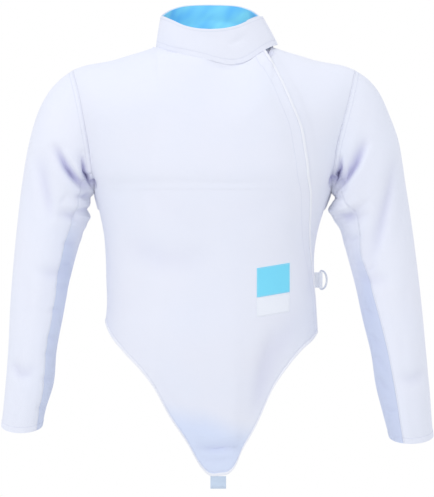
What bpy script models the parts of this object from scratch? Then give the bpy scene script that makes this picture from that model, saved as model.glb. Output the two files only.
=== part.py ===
"""A fencing jacket, filled out as if worn.

The right front laps over to the wearer's left and runs down to a point, the back is shorter, the sleeves have two
pieces each, and the stand collar has a blue lining. Neck, hem and cuffs are open.

Metres, +Z up. The front faces -Y and the wearer's left is +X. The origin is where the shoulders carry the jacket, in
the middle of the neck's base.
"""

import bpy
import numpy as np


def table(columns, *rows):
    """Named columns, with the rows in rising order of the first one."""
    rows = sorted(rows)
    return {name: np.array([row[i] for row in rows]) for i, name in enumerate(columns.split())}


# Walls, seams and strips
CLOTH = 0.0020
COLLAR_CLOTH = 0.0025
LINING_CLOTH = 0.0010
SEAM_GAP = 0.0003
EDGE_DRAW = 0.00025
LAP_GAP = 0.0004
STRIP_THICKNESS = 0.0010
STRIP_LIFT = 0.0006
FLAP_STRIP_WIDTH = 0.0045
BINDING_WIDTH = 0.0050
LABEL_THICKNESS = 0.0006
LABEL_LIFT = 0.0007
MITRE_LIMIT = 0.6
SAME_POINT = 0.00001
SHARP_ANGLE = 50.0

# How many cells each wall has
ARM_ROWS = 12
LOW_ROWS = 14
SHOULDER_CELLS = 6
SLEEVE_ROWS = 22
COLLAR_ROWS = 4

# Body sections: height, the edges seen from the front, the share of the round that a panel reaches there, and how far
# the front and the back stand out from the side seams
ROUND = 2.3
SIDE_Y = -0.002
BODY = table(
    "z left right reach front back",
    (-0.021, -0.228, 0.228, 0.860, 0.100, 0.090),
    (-0.060, -0.217, 0.219, 0.880, 0.108, 0.099),
    (-0.110, -0.207, 0.206, 0.905, 0.116, 0.107),
    (-0.151, -0.200, 0.196, 0.930, 0.120, 0.111),
    (-0.190, -0.196, 0.193, 0.960, 0.122, 0.112),
    (-0.218, -0.193, 0.189, 1.000, 0.121, 0.111),
    (-0.251, -0.185, 0.177, 1.000, 0.118, 0.107),
    (-0.286, -0.178, 0.167, 1.000, 0.114, 0.102),
    (-0.323, -0.175, 0.162, 1.000, 0.110, 0.097),
    (-0.361, -0.174, 0.163, 1.000, 0.108, 0.094),
    (-0.400, -0.173, 0.165, 1.000, 0.108, 0.094),
    (-0.445, -0.177, 0.168, 1.000, 0.109, 0.095),
    (-0.520, -0.177, 0.168, 1.000, 0.104, 0.095),
    (-0.600, -0.177, 0.168, 1.000, 0.093, 0.095),
    (-0.672, -0.177, 0.168, 1.000, 0.076, 0.095),
)
PIT_Z = -0.218

# Neck and shoulder line
NECK_X = 0.094
NECK_Y = -0.005
NECK_FRONT = 0.070
NECK_BACK = 0.070
NECK_POINT_Z = 0.016
BACK_NECK_Z = 0.028
SHOULDER_X = 0.228
SHOULDER_Y = 0.000
NECKLINE = table(
    "x z",
    (-0.094, 0.016),
    (-0.070, 0.006),
    (-0.040, -0.001),
    (-0.015, -0.007),
    (0.006, -0.013),
    (0.027, -0.0165),
    (0.043, -0.0150),
    (0.057, -0.0085),
    (0.071, 0.0020),
    (0.083, 0.0100),
    (0.094, 0.016),
)
SHOULDER = table(
    "x z",
    (0.094, 0.016),
    (0.118, 0.008),
    (0.142, 0.001),
    (0.165, -0.006),
    (0.186, -0.010),
    (0.208, -0.014),
    (0.228, -0.021),
)
NECK_DROP = 0.115
SHOULDER_DROP = 0.095
NECK_BEND = 1.1
SHOULDER_BEND = 2.0

# The flap's edge on the front and the edge of the piece under it, as shares of the body's half width
FLAP_TURN = 60.0
UNDER_TURN = 40.0
FLAP = table(
    "z edge under",
    (0.011, 0.357, 0.265),
    (-0.027, 0.451, 0.345),
    (-0.075, 0.575, 0.458),
    (-0.123, 0.705, 0.582),
    (-0.170, 0.775, 0.648),
    (-0.191, 0.790, 0.660),
    (-0.251, 0.884, 0.745),
    (-0.308, 0.956, 0.830),
    (-0.340, 0.985, 0.885),
    (-0.380, 0.995, 0.915),
    (-0.445, 0.995, 0.915),
)
FLAP_FIRST_SHARE = 0.5
FLAP_PASSES = 12
LAP_COLUMNS = 3
LAP_FADE = 0.040

# Where the columns of the panels stand, as turns from the middle
POINT_LEFT_TURN = -2.0
POINT_RIGHT_TURN = 10.0
BESIDE_POINT_CELLS = 9
POINT_CELLS = 3
NECK_TURN_STEP = 10
BACK_NECK_TURN = 70
BACK_NECK_STEP = 20

# The front's hem, seen from the front, and the back's
FRONT_HEM = table(
    "x z",
    (-0.177, -0.428),
    (-0.168, -0.445),
    (-0.144, -0.475),
    (-0.116, -0.505),
    (-0.095, -0.533),
    (-0.071, -0.577),
    (-0.0415, -0.622),
    (-0.0208, -0.659),
    (-0.009, -0.671),
    (0.011, -0.672),
    (0.0255, -0.668),
    (0.034, -0.658),
    (0.0455, -0.631),
    (0.0593, -0.607),
    (0.0715, -0.584),
    (0.094, -0.535),
    (0.108, -0.513),
    (0.125, -0.490),
    (0.142, -0.471),
    (0.160, -0.455),
    (0.168, -0.4445),
)
BACK_HEM_SAG = 0.018

# Sleeve sections from armhole to cuff: the ends of each one seen from the front, half its depth, how far its middle
# stands from y = 0, and the turn of the front seam from the outer side
SLEEVE_RIGHT = table(
    "station outer_x outer_z inner_x inner_z depth y seam",
    (0, -0.228, -0.021, -0.193, -0.218, 0.063, 0.002, 135),
    (1, -0.250, -0.037, -0.197, -0.228, 0.066, 0.004, 135),
    (2, -0.270, -0.060, -0.201, -0.240, 0.068, 0.006, 135),
    (3, -0.287, -0.094, -0.204, -0.256, 0.069, 0.008, 134),
    (4, -0.3005, -0.142, -0.207, -0.275, 0.067, 0.010, 133),
    (5, -0.3105, -0.199, -0.217, -0.300, 0.063, 0.011, 131),
    (6, -0.318, -0.262, -0.226, -0.330, 0.059, 0.010, 129),
    (7, -0.3245, -0.330, -0.235, -0.368, 0.056, 0.006, 131),
    (8, -0.3295, -0.400, -0.244, -0.418, 0.052, -0.002, 131),
    (9, -0.332, -0.470, -0.254, -0.474, 0.048, -0.012, 129),
    (10, -0.336, -0.530, -0.258, -0.525, 0.045, -0.021, 131),
    (11, -0.340, -0.575, -0.270, -0.566, 0.042, -0.027, 137),
    (12, -0.342, -0.594, -0.276, -0.594, 0.041, -0.029, 139),
)
SLEEVE_LEFT = table(
    "station outer_x outer_z inner_x inner_z depth y seam",
    (0, 0.228, -0.021, 0.189, -0.218, 0.063, 0.002, 135),
    (1, 0.250, -0.036, 0.193, -0.229, 0.066, 0.004, 135),
    (2, 0.268, -0.058, 0.190, -0.245, 0.068, 0.006, 134),
    (3, 0.283, -0.090, 0.194, -0.263, 0.070, 0.008, 131),
    (4, 0.300, -0.138, 0.205, -0.280, 0.068, 0.010, 127),
    (5, 0.311, -0.205, 0.211, -0.302, 0.064, 0.011, 124),
    (6, 0.321, -0.272, 0.220, -0.334, 0.060, 0.010, 132),
    (7, 0.329, -0.335, 0.230, -0.373, 0.057, 0.006, 127),
    (8, 0.336, -0.400, 0.241, -0.425, 0.053, -0.002, 120),
    (9, 0.342, -0.470, 0.254, -0.480, 0.049, -0.012, 116),
    (10, 0.348, -0.540, 0.261, -0.530, 0.046, -0.021, 111),
    (11, 0.351, -0.588, 0.272, -0.575, 0.043, -0.028, 112),
    (12, 0.353, -0.610, 0.282, -0.612, 0.042, -0.030, 114),
)
SLEEVE_SEAM_CELL = 9
SLEEVE_SEAM_TURN = SLEEVE_SEAM_CELL * 180 / ARM_ROWS
ARMHOLE_BLEND = 1.8
CUFF_DROP = 0.011
CUFF_DROP_FROM = 10.0

# Collar: its base is the neckline, its rim is this ring; it starts under the flap at one turn from the middle of the
# front and comes round to lap over itself
RIM_X = 0.0805
RIM_MIDDLE_X = -0.0055
RIM_FRONT = 0.062
RIM_BACK = 0.064
RIM = table(
    "turn z",
    (0, 0.0410),
    (15, 0.0425),
    (30, 0.0470),
    (50, 0.0570),
    (70, 0.0640),
    (90, 0.0665),
    (110, 0.0730),
    (127, 0.0805),
    (145, 0.0868),
    (165, 0.0895),
    (180, 0.0900),
)
COLLAR_START = 50
COLLAR_END = 450
COLLAR_TURN_STEP = 10
COLLAR_BOW = 0.0005
LAP_FLARE_FROM = 370.0
LAP_FLARE_BASE = 0.0095
LAP_FLARE_RIM = 0.0035
LAP_LIFT = 0.004
UNDER_INSET = 0.0032
UNDER_INSET_TO = 130.0
LINING_BELOW_RIM = 0.0015
LINING_END = 400

# Folds, each from one point through a second to a third as seen from the front or the back: how deep and how wide the
# trough is (a negative depth is a ridge), where along it is deepest, and the face it is on (-1 the front, 1 the back)
FOLDS = table(
    "x0 z0 x1 z1 x2 z2 depth width peak face",
    (-0.262, -0.140, -0.225, -0.191, -0.194, -0.217, 0.0075, 0.011, 0.60, -1),
    (-0.214, -0.150, -0.206, -0.191, -0.194, -0.216, 0.0055, 0.008, 0.60, -1),
    (-0.281, -0.150, -0.270, -0.215, -0.258, -0.268, 0.0045, 0.013, 0.45, -1),
    (-0.200, -0.252, -0.225, -0.256, -0.252, -0.252, 0.0045, 0.009, 0.30, -1),
    (-0.228, -0.345, -0.250, -0.352, -0.290, -0.345, 0.0035, 0.012, 0.35, -1),
    (-0.330, -0.497, -0.305, -0.508, -0.275, -0.505, 0.0035, 0.012, 0.40, -1),
    (0.248, -0.128, 0.224, -0.175, 0.191, -0.216, 0.0075, 0.011, 0.60, -1),
    (0.204, -0.160, 0.198, -0.188, 0.190, -0.216, 0.0050, 0.008, 0.60, -1),
    (0.295, -0.150, 0.281, -0.225, 0.243, -0.350, 0.0050, 0.012, 0.55, -1),
    (0.194, -0.258, 0.222, -0.262, 0.252, -0.255, 0.0045, 0.009, 0.30, -1),
    (0.226, -0.350, 0.250, -0.362, 0.285, -0.360, 0.0035, 0.012, 0.35, -1),
    (0.345, -0.505, 0.318, -0.520, 0.285, -0.515, 0.0035, 0.012, 0.40, -1),
    (0.150, -0.400, 0.095, -0.480, 0.062, -0.590, 0.0040, 0.022, 0.50, -1),
    (-0.150, -0.300, -0.080, -0.330, 0.010, -0.325, 0.0030, 0.026, 0.40, -1),
    (-0.034, -0.628, 0.004, -0.631, 0.044, -0.626, 0.0025, 0.008, 0.50, -1),
    (-0.262, -0.150, -0.225, -0.196, -0.195, -0.217, 0.0070, 0.012, 0.60, 1),
    (-0.285, -0.165, -0.268, -0.230, -0.240, -0.300, 0.0040, 0.013, 0.45, 1),
    (-0.230, -0.360, -0.262, -0.372, -0.310, -0.362, 0.0040, 0.013, 0.50, 1),
    (0.255, -0.140, 0.226, -0.186, 0.192, -0.217, 0.0070, 0.012, 0.60, 1),
    (0.292, -0.170, 0.276, -0.240, 0.246, -0.310, 0.0040, 0.013, 0.45, 1),
    (0.232, -0.366, 0.264, -0.380, 0.318, -0.368, 0.0040, 0.013, 0.50, 1),
    (-0.175, -0.240, -0.110, -0.262, -0.030, -0.258, 0.0040, 0.020, 0.35, 1),
    (0.165, -0.235, 0.100, -0.268, 0.020, -0.272, 0.0040, 0.020, 0.35, 1),
    (-0.160, -0.340, -0.050, -0.352, 0.080, -0.345, 0.0035, 0.018, 0.45, 1),
)
FACING_FROM = -0.15
FACING_TO = 0.35
FOLD_FULLNESS = 0.8

# Labels on the front: the middle of the upper edge, how much that edge climbs over the label's width, and the sizes
LABEL_X = 0.0945
LABEL_TOP_Z = -0.337
LABEL_CLIMB = 0.0085
LABEL_WIDTH = 0.0525
UPPER_LABEL_HEIGHT = 0.0465
LOWER_LABEL_HEIGHT = 0.0300
LABEL_GAP = 0.0010
LABEL_CELLS = 7

# Webbing loops: one hangs from the point of the hem, the other stands out from the side seam and holds the D-ring
WEBBING = 0.0012
WEBBING_SLIT = 0.0004
CROTCH_LOOP_WIDTH = 0.025
CROTCH_LOOP_X = 0.007
CROTCH_LOOP_LENGTH = 0.0200
CROTCH_LOOP_HOLE = 0.0035
CROTCH_LOOP_ROOT = 0.008
TAB_WIDTH = 0.025
TAB_Z = -0.361
TAB_REACH = 0.0125
TAB_HOLE = 0.0024
TAB_ROOT = 0.0050
LOOP_ARC_CELLS = 12
LOOP_ARC_TURN = 115.0

# D-ring
RING_WIRE = 0.0016
RING_HALF_HEIGHT = 0.0149
RING_CORNER = 0.0030
RING_BOW = 0.0140
RING_TURN = 50.0
RING_CORNER_CELLS = 3
RING_BOW_CELLS = 14

# Colour, roughness and metallic value of each material
FINISHES = {
    "white_cloth": ((0.86, 0.89, 0.97), 0.75, 0.0),
    "blue_lining": ((0.15, 0.48, 0.95), 0.70, 0.0),
    "blue_label": ((0.22, 0.62, 0.90), 0.60, 0.0),
    "white_label": ((0.85, 0.88, 0.94), 0.60, 0.0),
    "webbing": ((0.72, 0.78, 0.90), 0.80, 0.0),
    "steel": ((0.62, 0.63, 0.62), 0.30, 1.0),
}


def clear_scene():
    for obj in list(bpy.data.objects):
        bpy.data.objects.remove(obj)


def material(name, finish):
    colour, roughness, metallic = FINISHES[finish]
    made = bpy.data.materials.new(name)
    made.use_nodes = True
    shader = made.node_tree.nodes["Principled BSDF"]
    shader.inputs["Base Color"].default_value = (*colour, 1.0)
    shader.inputs["Roughness"].default_value = roughness
    shader.inputs["Metallic"].default_value = metallic
    return made


def read(data, column, at):
    """A column's value where the first column is `at`, on a smooth curve through the rows."""
    keys = next(iter(data.values()))
    values = data[column]
    slopes = np.gradient(values, keys)
    at = np.clip(at, keys[0], keys[-1])
    low = np.clip(np.searchsorted(keys, at) - 1, 0, len(keys) - 2)
    step = keys[low + 1] - keys[low]
    f = (at - keys[low]) / step
    start = (1 + 2 * f) * (1 - f) ** 2 * values[low] + f * (1 - f) ** 2 * step * slopes[low]
    end = f**2 * (3 - 2 * f) * values[low + 1] + f**2 * (f - 1) * step * slopes[low + 1]
    return start + end


def ease(value):
    """0 to 1 with level ends."""
    value = np.clip(value, 0.0, 1.0)
    return value * value * (3 - 2 * value)


def mix(start, end, share):
    return start + (end - start) * share


def unit(vectors):
    return vectors / np.maximum(np.linalg.norm(vectors, axis=-1, keepdims=True), 1e-12)


# Body panels


def share_at(turn):
    """How far across the body's half width the round stands at this turn from the middle, in degrees."""
    sine = np.sin(np.radians(turn))
    return np.sign(sine) * np.abs(sine) ** (2 / ROUND)


def turn_at(share):
    return np.degrees(np.sign(share) * np.arcsin(np.clip(np.abs(share), 0, 1) ** (ROUND / 2)))


def neck_height(face, x):
    if face == "front":
        return read(NECKLINE, "z", x)
    rise = np.sqrt(np.maximum(0.0, 1 - (x / NECK_X) ** 2))
    return NECK_POINT_Z + (BACK_NECK_Z - NECK_POINT_Z) * rise


def crown(face, share):
    """The panel's top line at a share of the shoulder width: y and z, the drop to the full round, and its bend."""
    x = share * SHOULDER_X
    inside = np.abs(x) < NECK_X
    bow = np.sqrt(np.maximum(0.0, 1 - (x / NECK_X) ** 2))
    neck_y = NECK_Y + bow * (-NECK_FRONT if face == "front" else NECK_BACK)
    along = np.clip((np.abs(x) - NECK_X) / (SHOULDER_X - NECK_X), 0, 1)
    y = np.where(inside, neck_y, mix(NECK_Y, SHOULDER_Y, along))
    z = np.where(inside, neck_height(face, x), read(SHOULDER, "z", np.abs(x)))
    out = ease(np.abs(x) / NECK_X)
    return y, z, mix(NECK_DROP, SHOULDER_DROP, out), mix(NECK_BEND, SHOULDER_BEND, out)


def hem_height(face, share):
    left = FRONT_HEM["x"][0]
    right = FRONT_HEM["x"][-1]
    x = mix(left, right, (share + 1) / 2)
    if face == "front":
        return read(FRONT_HEM, "z", x)
    return mix(FRONT_HEM["z"][0], FRONT_HEM["z"][-1], (share + 1) / 2) - BACK_HEM_SAG * (1 - share**2)


def row_height(face, share, row):
    """Height of a panel's row: the upper rows run from the top line to the armpit, the others on to the hem."""
    top = crown(face, share)[1]
    if row <= ARM_ROWS:
        return mix(top, PIT_Z, (1 - np.cos(np.pi * row / ARM_ROWS)) / 2)
    return mix(PIT_Z, hem_height(face, share), (row - ARM_ROWS) / LOW_ROWS)


def body_point(face, share, z):
    left = read(BODY, "left", z)
    right = read(BODY, "right", z)
    x = (left + right) / 2 + (right - left) / 2 * share
    reached = np.clip(np.abs(share) * read(BODY, "reach", z), 0, 1)
    rounding = (1 - reached**ROUND) ** (1 / ROUND)
    side = -1 if face == "front" else 1
    full = SIDE_Y + side * read(BODY, face, z) * rounding
    top_y, top_z, drop, bend = crown(face, share)
    fallen = np.clip((top_z - z) / drop, 0, 1)
    y = mix(top_y, full, (1 - (1 - fallen) ** 2) ** (1 / bend))
    return np.stack([x, y, z + 0 * x], axis=-1)


def shoulder_shares():
    """Shares from the neck point out to the shoulder point, closer together where the body turns."""
    neck = NECK_X / SHOULDER_X
    return mix(neck, 1.0, np.sin(np.linspace(0, np.pi / 2, SHOULDER_CELLS + 1)))


def neck_shares(turns):
    return NECK_X / SHOULDER_X * np.sin(np.radians(turns))


def flap_shares(row):
    """Shares of the flap's edge and of the edge under it on one row."""
    if row == 0:
        return neck_shares(FLAP_TURN), neck_shares(UNDER_TURN)
    edge = under = FLAP_FIRST_SHARE
    for _ in range(FLAP_PASSES):
        edge = read(FLAP, "edge", row_height("front", edge, row))
        under = read(FLAP, "under", row_height("front", under, row))
    return float(edge), float(under)


def front_right_row(row):
    edge, under = flap_shares(row)
    neck = neck_shares(np.arange(NECK_TURN_STEP - 90, UNDER_TURN + 1, NECK_TURN_STEP))
    top = np.concatenate([-shoulder_shares()[::-1], neck])
    top = mix(-1, under, (top + 1) / (top[-1] + 1))
    turns = np.concatenate([
        np.linspace(-90, POINT_LEFT_TURN, BESIDE_POINT_CELLS + 1)[:-1],
        np.linspace(POINT_LEFT_TURN, POINT_RIGHT_TURN, POINT_CELLS + 1)[:-1],
        np.linspace(POINT_RIGHT_TURN, turn_at(under), len(top) - BESIDE_POINT_CELLS - POINT_CELLS),
    ])
    shares = mix(top, share_at(turns), ease(row / ARM_ROWS))
    return np.concatenate([shares, [(under + edge) / 2, edge]])


def front_left_row(row):
    edge, under = flap_shares(row)
    neck = neck_shares(np.arange(FLAP_TURN, 90, NECK_TURN_STEP))
    top = np.concatenate([neck, shoulder_shares()])
    top = mix(edge, 1, (top - top[0]) / (1 - top[0]))
    turns = np.linspace(turn_at(edge), 90, len(top))
    shares = mix(top, share_at(turns), ease(row / ARM_ROWS))
    return np.concatenate([[under, (under + edge) / 2], shares])


def back_row(row):
    neck = neck_shares(np.arange(-BACK_NECK_TURN, BACK_NECK_TURN + 1, BACK_NECK_STEP))
    top = np.concatenate([-shoulder_shares()[::-1], neck, shoulder_shares()])
    turns = np.linspace(-90, 90, len(top))
    return mix(top, share_at(turns), ease(row / ARM_ROWS))


def panel(face, shares_of_row):
    rows = []
    for row in range(ARM_ROWS + LOW_ROWS + 1):
        shares = shares_of_row(row)
        rows.append(body_point(face, shares, row_height(face, shares, row)))
    return np.array(rows)


# Sleeves


def armhole(side):
    """The seam ring at the armhole: down the front from the shoulder point, and up the back."""
    front = [body_point("front", side, row_height("front", side, row)) for row in range(ARM_ROWS + 1)]
    back = [body_point("back", side, row_height("back", side, row)) for row in range(ARM_ROWS + 1)]
    return np.array(front + back[-2::-1])


def sleeve_ring(data, station, turns):
    """One section: turn 0 is the outer side, 90 the front and 180 the inner side."""
    seam = read(data, "seam", station)
    turns = np.interp(turns, [0, SLEEVE_SEAM_TURN, 180, 360], [0, seam, 180, 360])
    across = np.cos(np.radians(turns))
    forward = np.sin(np.radians(turns))
    outer_x, outer_z, inner_x, inner_z, depth, y = (
        read(data, column, station) for column in ("outer_x", "outer_z", "inner_x", "inner_z", "depth", "y")
    )
    drop = CUFF_DROP * ease((station - CUFF_DROP_FROM) / (data["station"][-1] - CUFF_DROP_FROM))
    x = (outer_x + inner_x) / 2 + (outer_x - inner_x) / 2 * across
    z = (outer_z + inner_z) / 2 + (outer_z - inner_z) / 2 * across - drop * forward
    return np.stack([x, y - depth * forward, z], axis=-1)


def sleeve(data, side):
    """Rows from the armhole to the cuff, each a ring whose last point is its first."""
    turns = np.linspace(0, 360, 2 * ARM_ROWS + 1)
    seam = armhole(side)
    shift = seam - sleeve_ring(data, 0, turns)
    rows = []
    for station in np.linspace(0, data["station"][-1], SLEEVE_ROWS + 1):
        fade = max(0.0, 1 - station / ARMHOLE_BLEND) ** 2
        rows.append(sleeve_ring(data, station, turns) + shift * fade)
    rows[0] = seam
    return np.array(rows)


def upper_sleeve(rings):
    first = 2 * ARM_ROWS - SLEEVE_SEAM_CELL
    return np.concatenate([rings[:, first:-1], rings[:, : SLEEVE_SEAM_CELL + 1]], axis=1)


def under_sleeve(rings):
    return rings[:, SLEEVE_SEAM_CELL : 2 * ARM_ROWS - SLEEVE_SEAM_CELL + 1]


# Folds and walls


def fold_depths(points, facing):
    """How far the folds push each point in; facing is the y part of the outward direction."""
    depths = np.zeros(points.shape[:-1])
    at = points[..., [0, 2]]
    for i in range(len(FOLDS["depth"])):
        path = [np.array([FOLDS[f"x{n}"][i], FOLDS[f"z{n}"][i]]) for n in range(3)]
        lengths = [np.linalg.norm(path[n + 1] - path[n]) for n in range(2)]
        nearest = np.full(depths.shape, np.inf)
        along = np.zeros(depths.shape)
        for n in range(2):
            way = (path[n + 1] - path[n]) / lengths[n]
            run = np.clip((at - path[n]) @ way, 0, lengths[n])
            gap = np.linalg.norm(at - path[n] - run[..., None] * way, axis=-1)
            share = (run + n * lengths[0]) / sum(lengths)
            along = np.where(gap < nearest, share, along)
            nearest = np.minimum(gap, nearest)
        peak = FOLDS["peak"][i]
        bump = np.sin(np.pi * np.interp(along, [0, peak, 1], [0, 0.5, 1])) ** FOLD_FULLNESS
        turned = ease((FOLDS["face"][i] * facing - FACING_FROM) / (FACING_TO - FACING_FROM))
        depths += FOLDS["depth"][i] * np.exp(-((nearest / FOLDS["width"][i]) ** 2)) * bump * turned
    return depths


def directions(grid, outward):
    """Unit vectors that point out of a grid; outward is 1 or -1, by which way its rows and columns run."""
    across = np.gradient(grid, axis=1)
    down = np.gradient(grid, axis=0)
    return unit(np.cross(across, down)) * outward


def keys_of(grid):
    return [tuple(key) for key in np.round(grid.reshape(-1, 3) / SAME_POINT).astype(int)]


def seam_directions(grids, outwards, keys):
    """Each point's direction out of the cloth, shared where pieces meet, and how squarely it leaves each surface there.

    The body's panels count as one surface and a sleeve's as another.
    """
    sums = {"body": {}, "sleeve": {}}
    for name, grid in grids.items():
        surface = sums["sleeve" if name.startswith("sleeve") else "body"]
        for key, vector in zip(keys[name], directions(grid, outwards[name]).reshape(-1, 3)):
            surface[key] = surface.get(key, 0) + vector
    shared = {}
    squareness = {}
    for name, grid in grids.items():
        found = []
        for key in keys[name]:
            surfaces = [unit(surface[key]) for surface in sums.values() if key in surface]
            way = unit(sum(surfaces))
            found.append([*way, way @ surfaces[0]])
        found = np.array(found).reshape(*grid.shape[:2], 4)
        shared[name] = found[..., :3]
        squareness[name] = found[..., 3:]
    return shared, squareness


def folded(grids, outwards):
    """The panels with their folds, and the directions in which their walls have thickness."""
    keys = {name: keys_of(grid) for name, grid in grids.items()}
    shared, _ = seam_directions(grids, outwards, keys)
    moved = {}
    for name, grid in grids.items():
        depths = fold_depths(grid, shared[name][..., 1])
        moved[name] = grid - shared[name] * depths[..., None]
    return moved, *seam_directions(moved, outwards, keys)


def edge_shifts(line, thickness, into):
    """How an edge's points move to draw it into the panel, square to the seam, also at a corner of the edge."""
    square = unit(np.cross(np.diff(line, axis=0), thickness[1:] + thickness[:-1]))
    square *= np.sign(np.sum(square * (into[1:] + into[:-1]), axis=-1, keepdims=True))
    before = np.concatenate([square[:1], square])
    after = np.concatenate([square, square[-1:]])
    spread = 1 + np.sum(before * after, axis=-1, keepdims=True)
    return (before + after) / np.maximum(spread, MITRE_LIMIT) * EDGE_DRAW


def drawn_in(outer, inner):
    """Both faces with their four edges drawn away from the neighbours."""
    moved_outer = outer.copy()
    moved_inner = inner.copy()
    for axis, edge, beside in ((0, 0, 1), (0, -1, -2), (1, 0, 1), (1, -1, -2)):
        line = np.take(outer, edge, axis=axis)
        thickness = line - np.take(inner, edge, axis=axis)
        shift = edge_shifts(line, thickness, np.take(outer, beside, axis=axis) - line)
        at = (edge,) if axis == 0 else (slice(None), edge)
        moved_outer[at] += shift
        moved_inner[at] += shift
    return moved_outer, moved_inner


def rim_faces(start, end, inner_start, inner_end, start_higher):
    """Two triangles on a wall's rim, split from the outer corner of the higher end, so that neighbours split alike."""
    if start_higher:
        return [(end, start, inner_end), (start, inner_start, inner_end)]
    return [(end, start, inner_start), (end, inner_start, inner_end)]


def wall_mesh(name, outer, inner, outward):
    """A closed wall between two grids of the same size."""
    rows, columns = outer.shape[:2]
    points = np.concatenate([outer.reshape(-1, 3), inner.reshape(-1, 3)])
    index = np.arange(rows * columns).reshape(rows, columns)
    inside = index + rows * columns
    faces = []
    for r in range(rows - 1):
        for c in range(columns - 1):
            corners = [index[r, c], index[r, c + 1], index[r + 1, c + 1], index[r + 1, c]]
            faces.append(tuple(corners))
            faces.append(tuple(inside.flat[n] for n in corners[:1] + corners[:0:-1]))
    loop = list(index[0, :]) + list(index[1:, -1]) + list(index[-1, -2::-1]) + list(index[-2:0:-1, 0])
    for start, end in zip(loop, loop[1:] + loop[:1]):
        faces += rim_faces(start, end, inside.flat[start], inside.flat[end], points[start][2] > points[end][2])
    if outward < 0:
        faces = [tuple(reversed(face)) for face in faces]
    mesh = bpy.data.meshes.new(name)
    mesh.from_pydata(points.tolist(), [], [tuple(int(n) for n in face) for face in faces])
    mesh.update()
    return mesh


def add(name, mesh, finish):
    mesh.shade_smooth()
    mesh.set_sharp_from_angle(angle=np.radians(SHARP_ANGLE))
    obj = bpy.data.objects.new(name, mesh)
    obj.data.materials.append(material(name, finish))
    bpy.context.scene.collection.objects.link(obj)
    return obj


def strip(name, edge, way, across, width, outward):
    """A flat strip on a panel, from its edge inwards: edge points, out directions, directions into the panel."""
    lines = [edge + across * width * share for share in (0.0, 1.0)]
    grid = np.stack(lines, axis=1)
    lift = way[:, None, :]
    outer = grid + lift * (STRIP_LIFT + STRIP_THICKNESS)
    inner = grid + lift * STRIP_LIFT
    add(name, wall_mesh(name, outer, inner, outward), "white_cloth")


def cloth_panels():
    grids = {
        "front_right": panel("front", front_right_row),
        "front_left": panel("front", front_left_row),
        "back": panel("back", back_row),
    }
    outwards = {"front_right": -1, "front_left": -1, "back": 1}
    for name, data, side in (("sleeve_right", SLEEVE_RIGHT, -1), ("sleeve_left", SLEEVE_LEFT, 1)):
        rings = sleeve(data, side)
        grids[name + "_upper"] = upper_sleeve(rings)
        grids[name + "_under"] = under_sleeve(rings)
        outwards[name + "_upper"] = side
        outwards[name + "_under"] = side
    return grids, outwards


def under_lap(grid, way):
    """How far the left front lies inside the flap: full to the flap's edge, then none by the seams."""
    steps = np.linalg.norm(np.diff(grid, axis=1), axis=-1)
    steps[:, : LAP_COLUMNS - 1] = 0.0
    run = np.concatenate([np.zeros((grid.shape[0], 1)), np.cumsum(steps, axis=1)], axis=1)
    inset = (CLOTH + LAP_GAP) * (1 - ease(run / np.minimum(run[:, -1:], LAP_FADE)))
    return grid - way * inset[..., None]


def body_and_sleeves():
    """Makes the cloth panels, and gives the flap's outer grid with its directions."""
    grids, outwards = cloth_panels()
    moved, shared, squareness = folded(grids, outwards)
    moved["front_left"] = under_lap(moved["front_left"], shared["front_left"])
    for name, grid in moved.items():
        inner = grid - shared[name] * CLOTH / np.maximum(squareness[name], MITRE_LIMIT)
        outer, inner = drawn_in(grid, inner)
        add(name, wall_mesh(name, outer, inner, outwards[name]), "white_cloth")
        if name == "front_right":
            flap = outer
    return flap, shared["front_right"]


def strips(flap, way):
    """The strip along the flap's edge and the binding along the front's hem."""
    rows = slice(1, -1)
    edge = flap[rows, -1]
    across = unit(flap[rows, -2] - edge)
    strip("flap_edge", edge, way[rows, -1], across, FLAP_STRIP_WIDTH, 1)
    hem = flap[-1]
    across = unit(flap[-2] - hem)
    strip("hem_binding", hem, way[-1], across, BINDING_WIDTH, -1)


# Collar


def collar_ring(turns, share):
    """Points round the collar at a share of its height above the neckline."""
    turn = np.radians(turns)
    base_x = NECK_X * np.sin(turn)
    base_y = NECK_Y - np.cos(turn) * np.where(np.cos(turn) > 0, NECK_FRONT, NECK_BACK)
    front = neck_height("front", base_x)
    back = neck_height("back", base_x)
    base_z = np.where(np.cos(turn) > 1e-9, front, back)
    rim_x = RIM_MIDDLE_X + RIM_X * np.sin(turn)
    rim_y = NECK_Y - np.cos(turn) * np.where(np.cos(turn) > 0, RIM_FRONT, RIM_BACK)
    around = np.degrees(np.arccos(np.clip(np.cos(turn), -1, 1)))
    rim_z = read(RIM, "z", around)
    out = np.stack([np.sin(turn), -np.cos(turn), 0 * turn], axis=-1)
    lapped = ease((turns - LAP_FLARE_FROM) / (COLLAR_END - LAP_FLARE_FROM))
    inset = UNDER_INSET * (1 - ease((turns - COLLAR_START) / (UNDER_INSET_TO - COLLAR_START)))
    offset = lapped * mix(LAP_FLARE_BASE, LAP_FLARE_RIM, share) - inset + COLLAR_BOW * np.sin(np.pi * share)
    points = np.stack([mix(base_x, rim_x, share), mix(base_y, rim_y, share), mix(base_z, rim_z, share)], axis=-1)
    points[..., 2] += lapped * LAP_LIFT * (1 - share)
    return points + out * offset[..., None]


def collar_grid(turns):
    """Rows from the rim down to the base."""
    return np.array([collar_ring(turns, share) for share in np.linspace(1, 0, COLLAR_ROWS + 1)])


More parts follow.
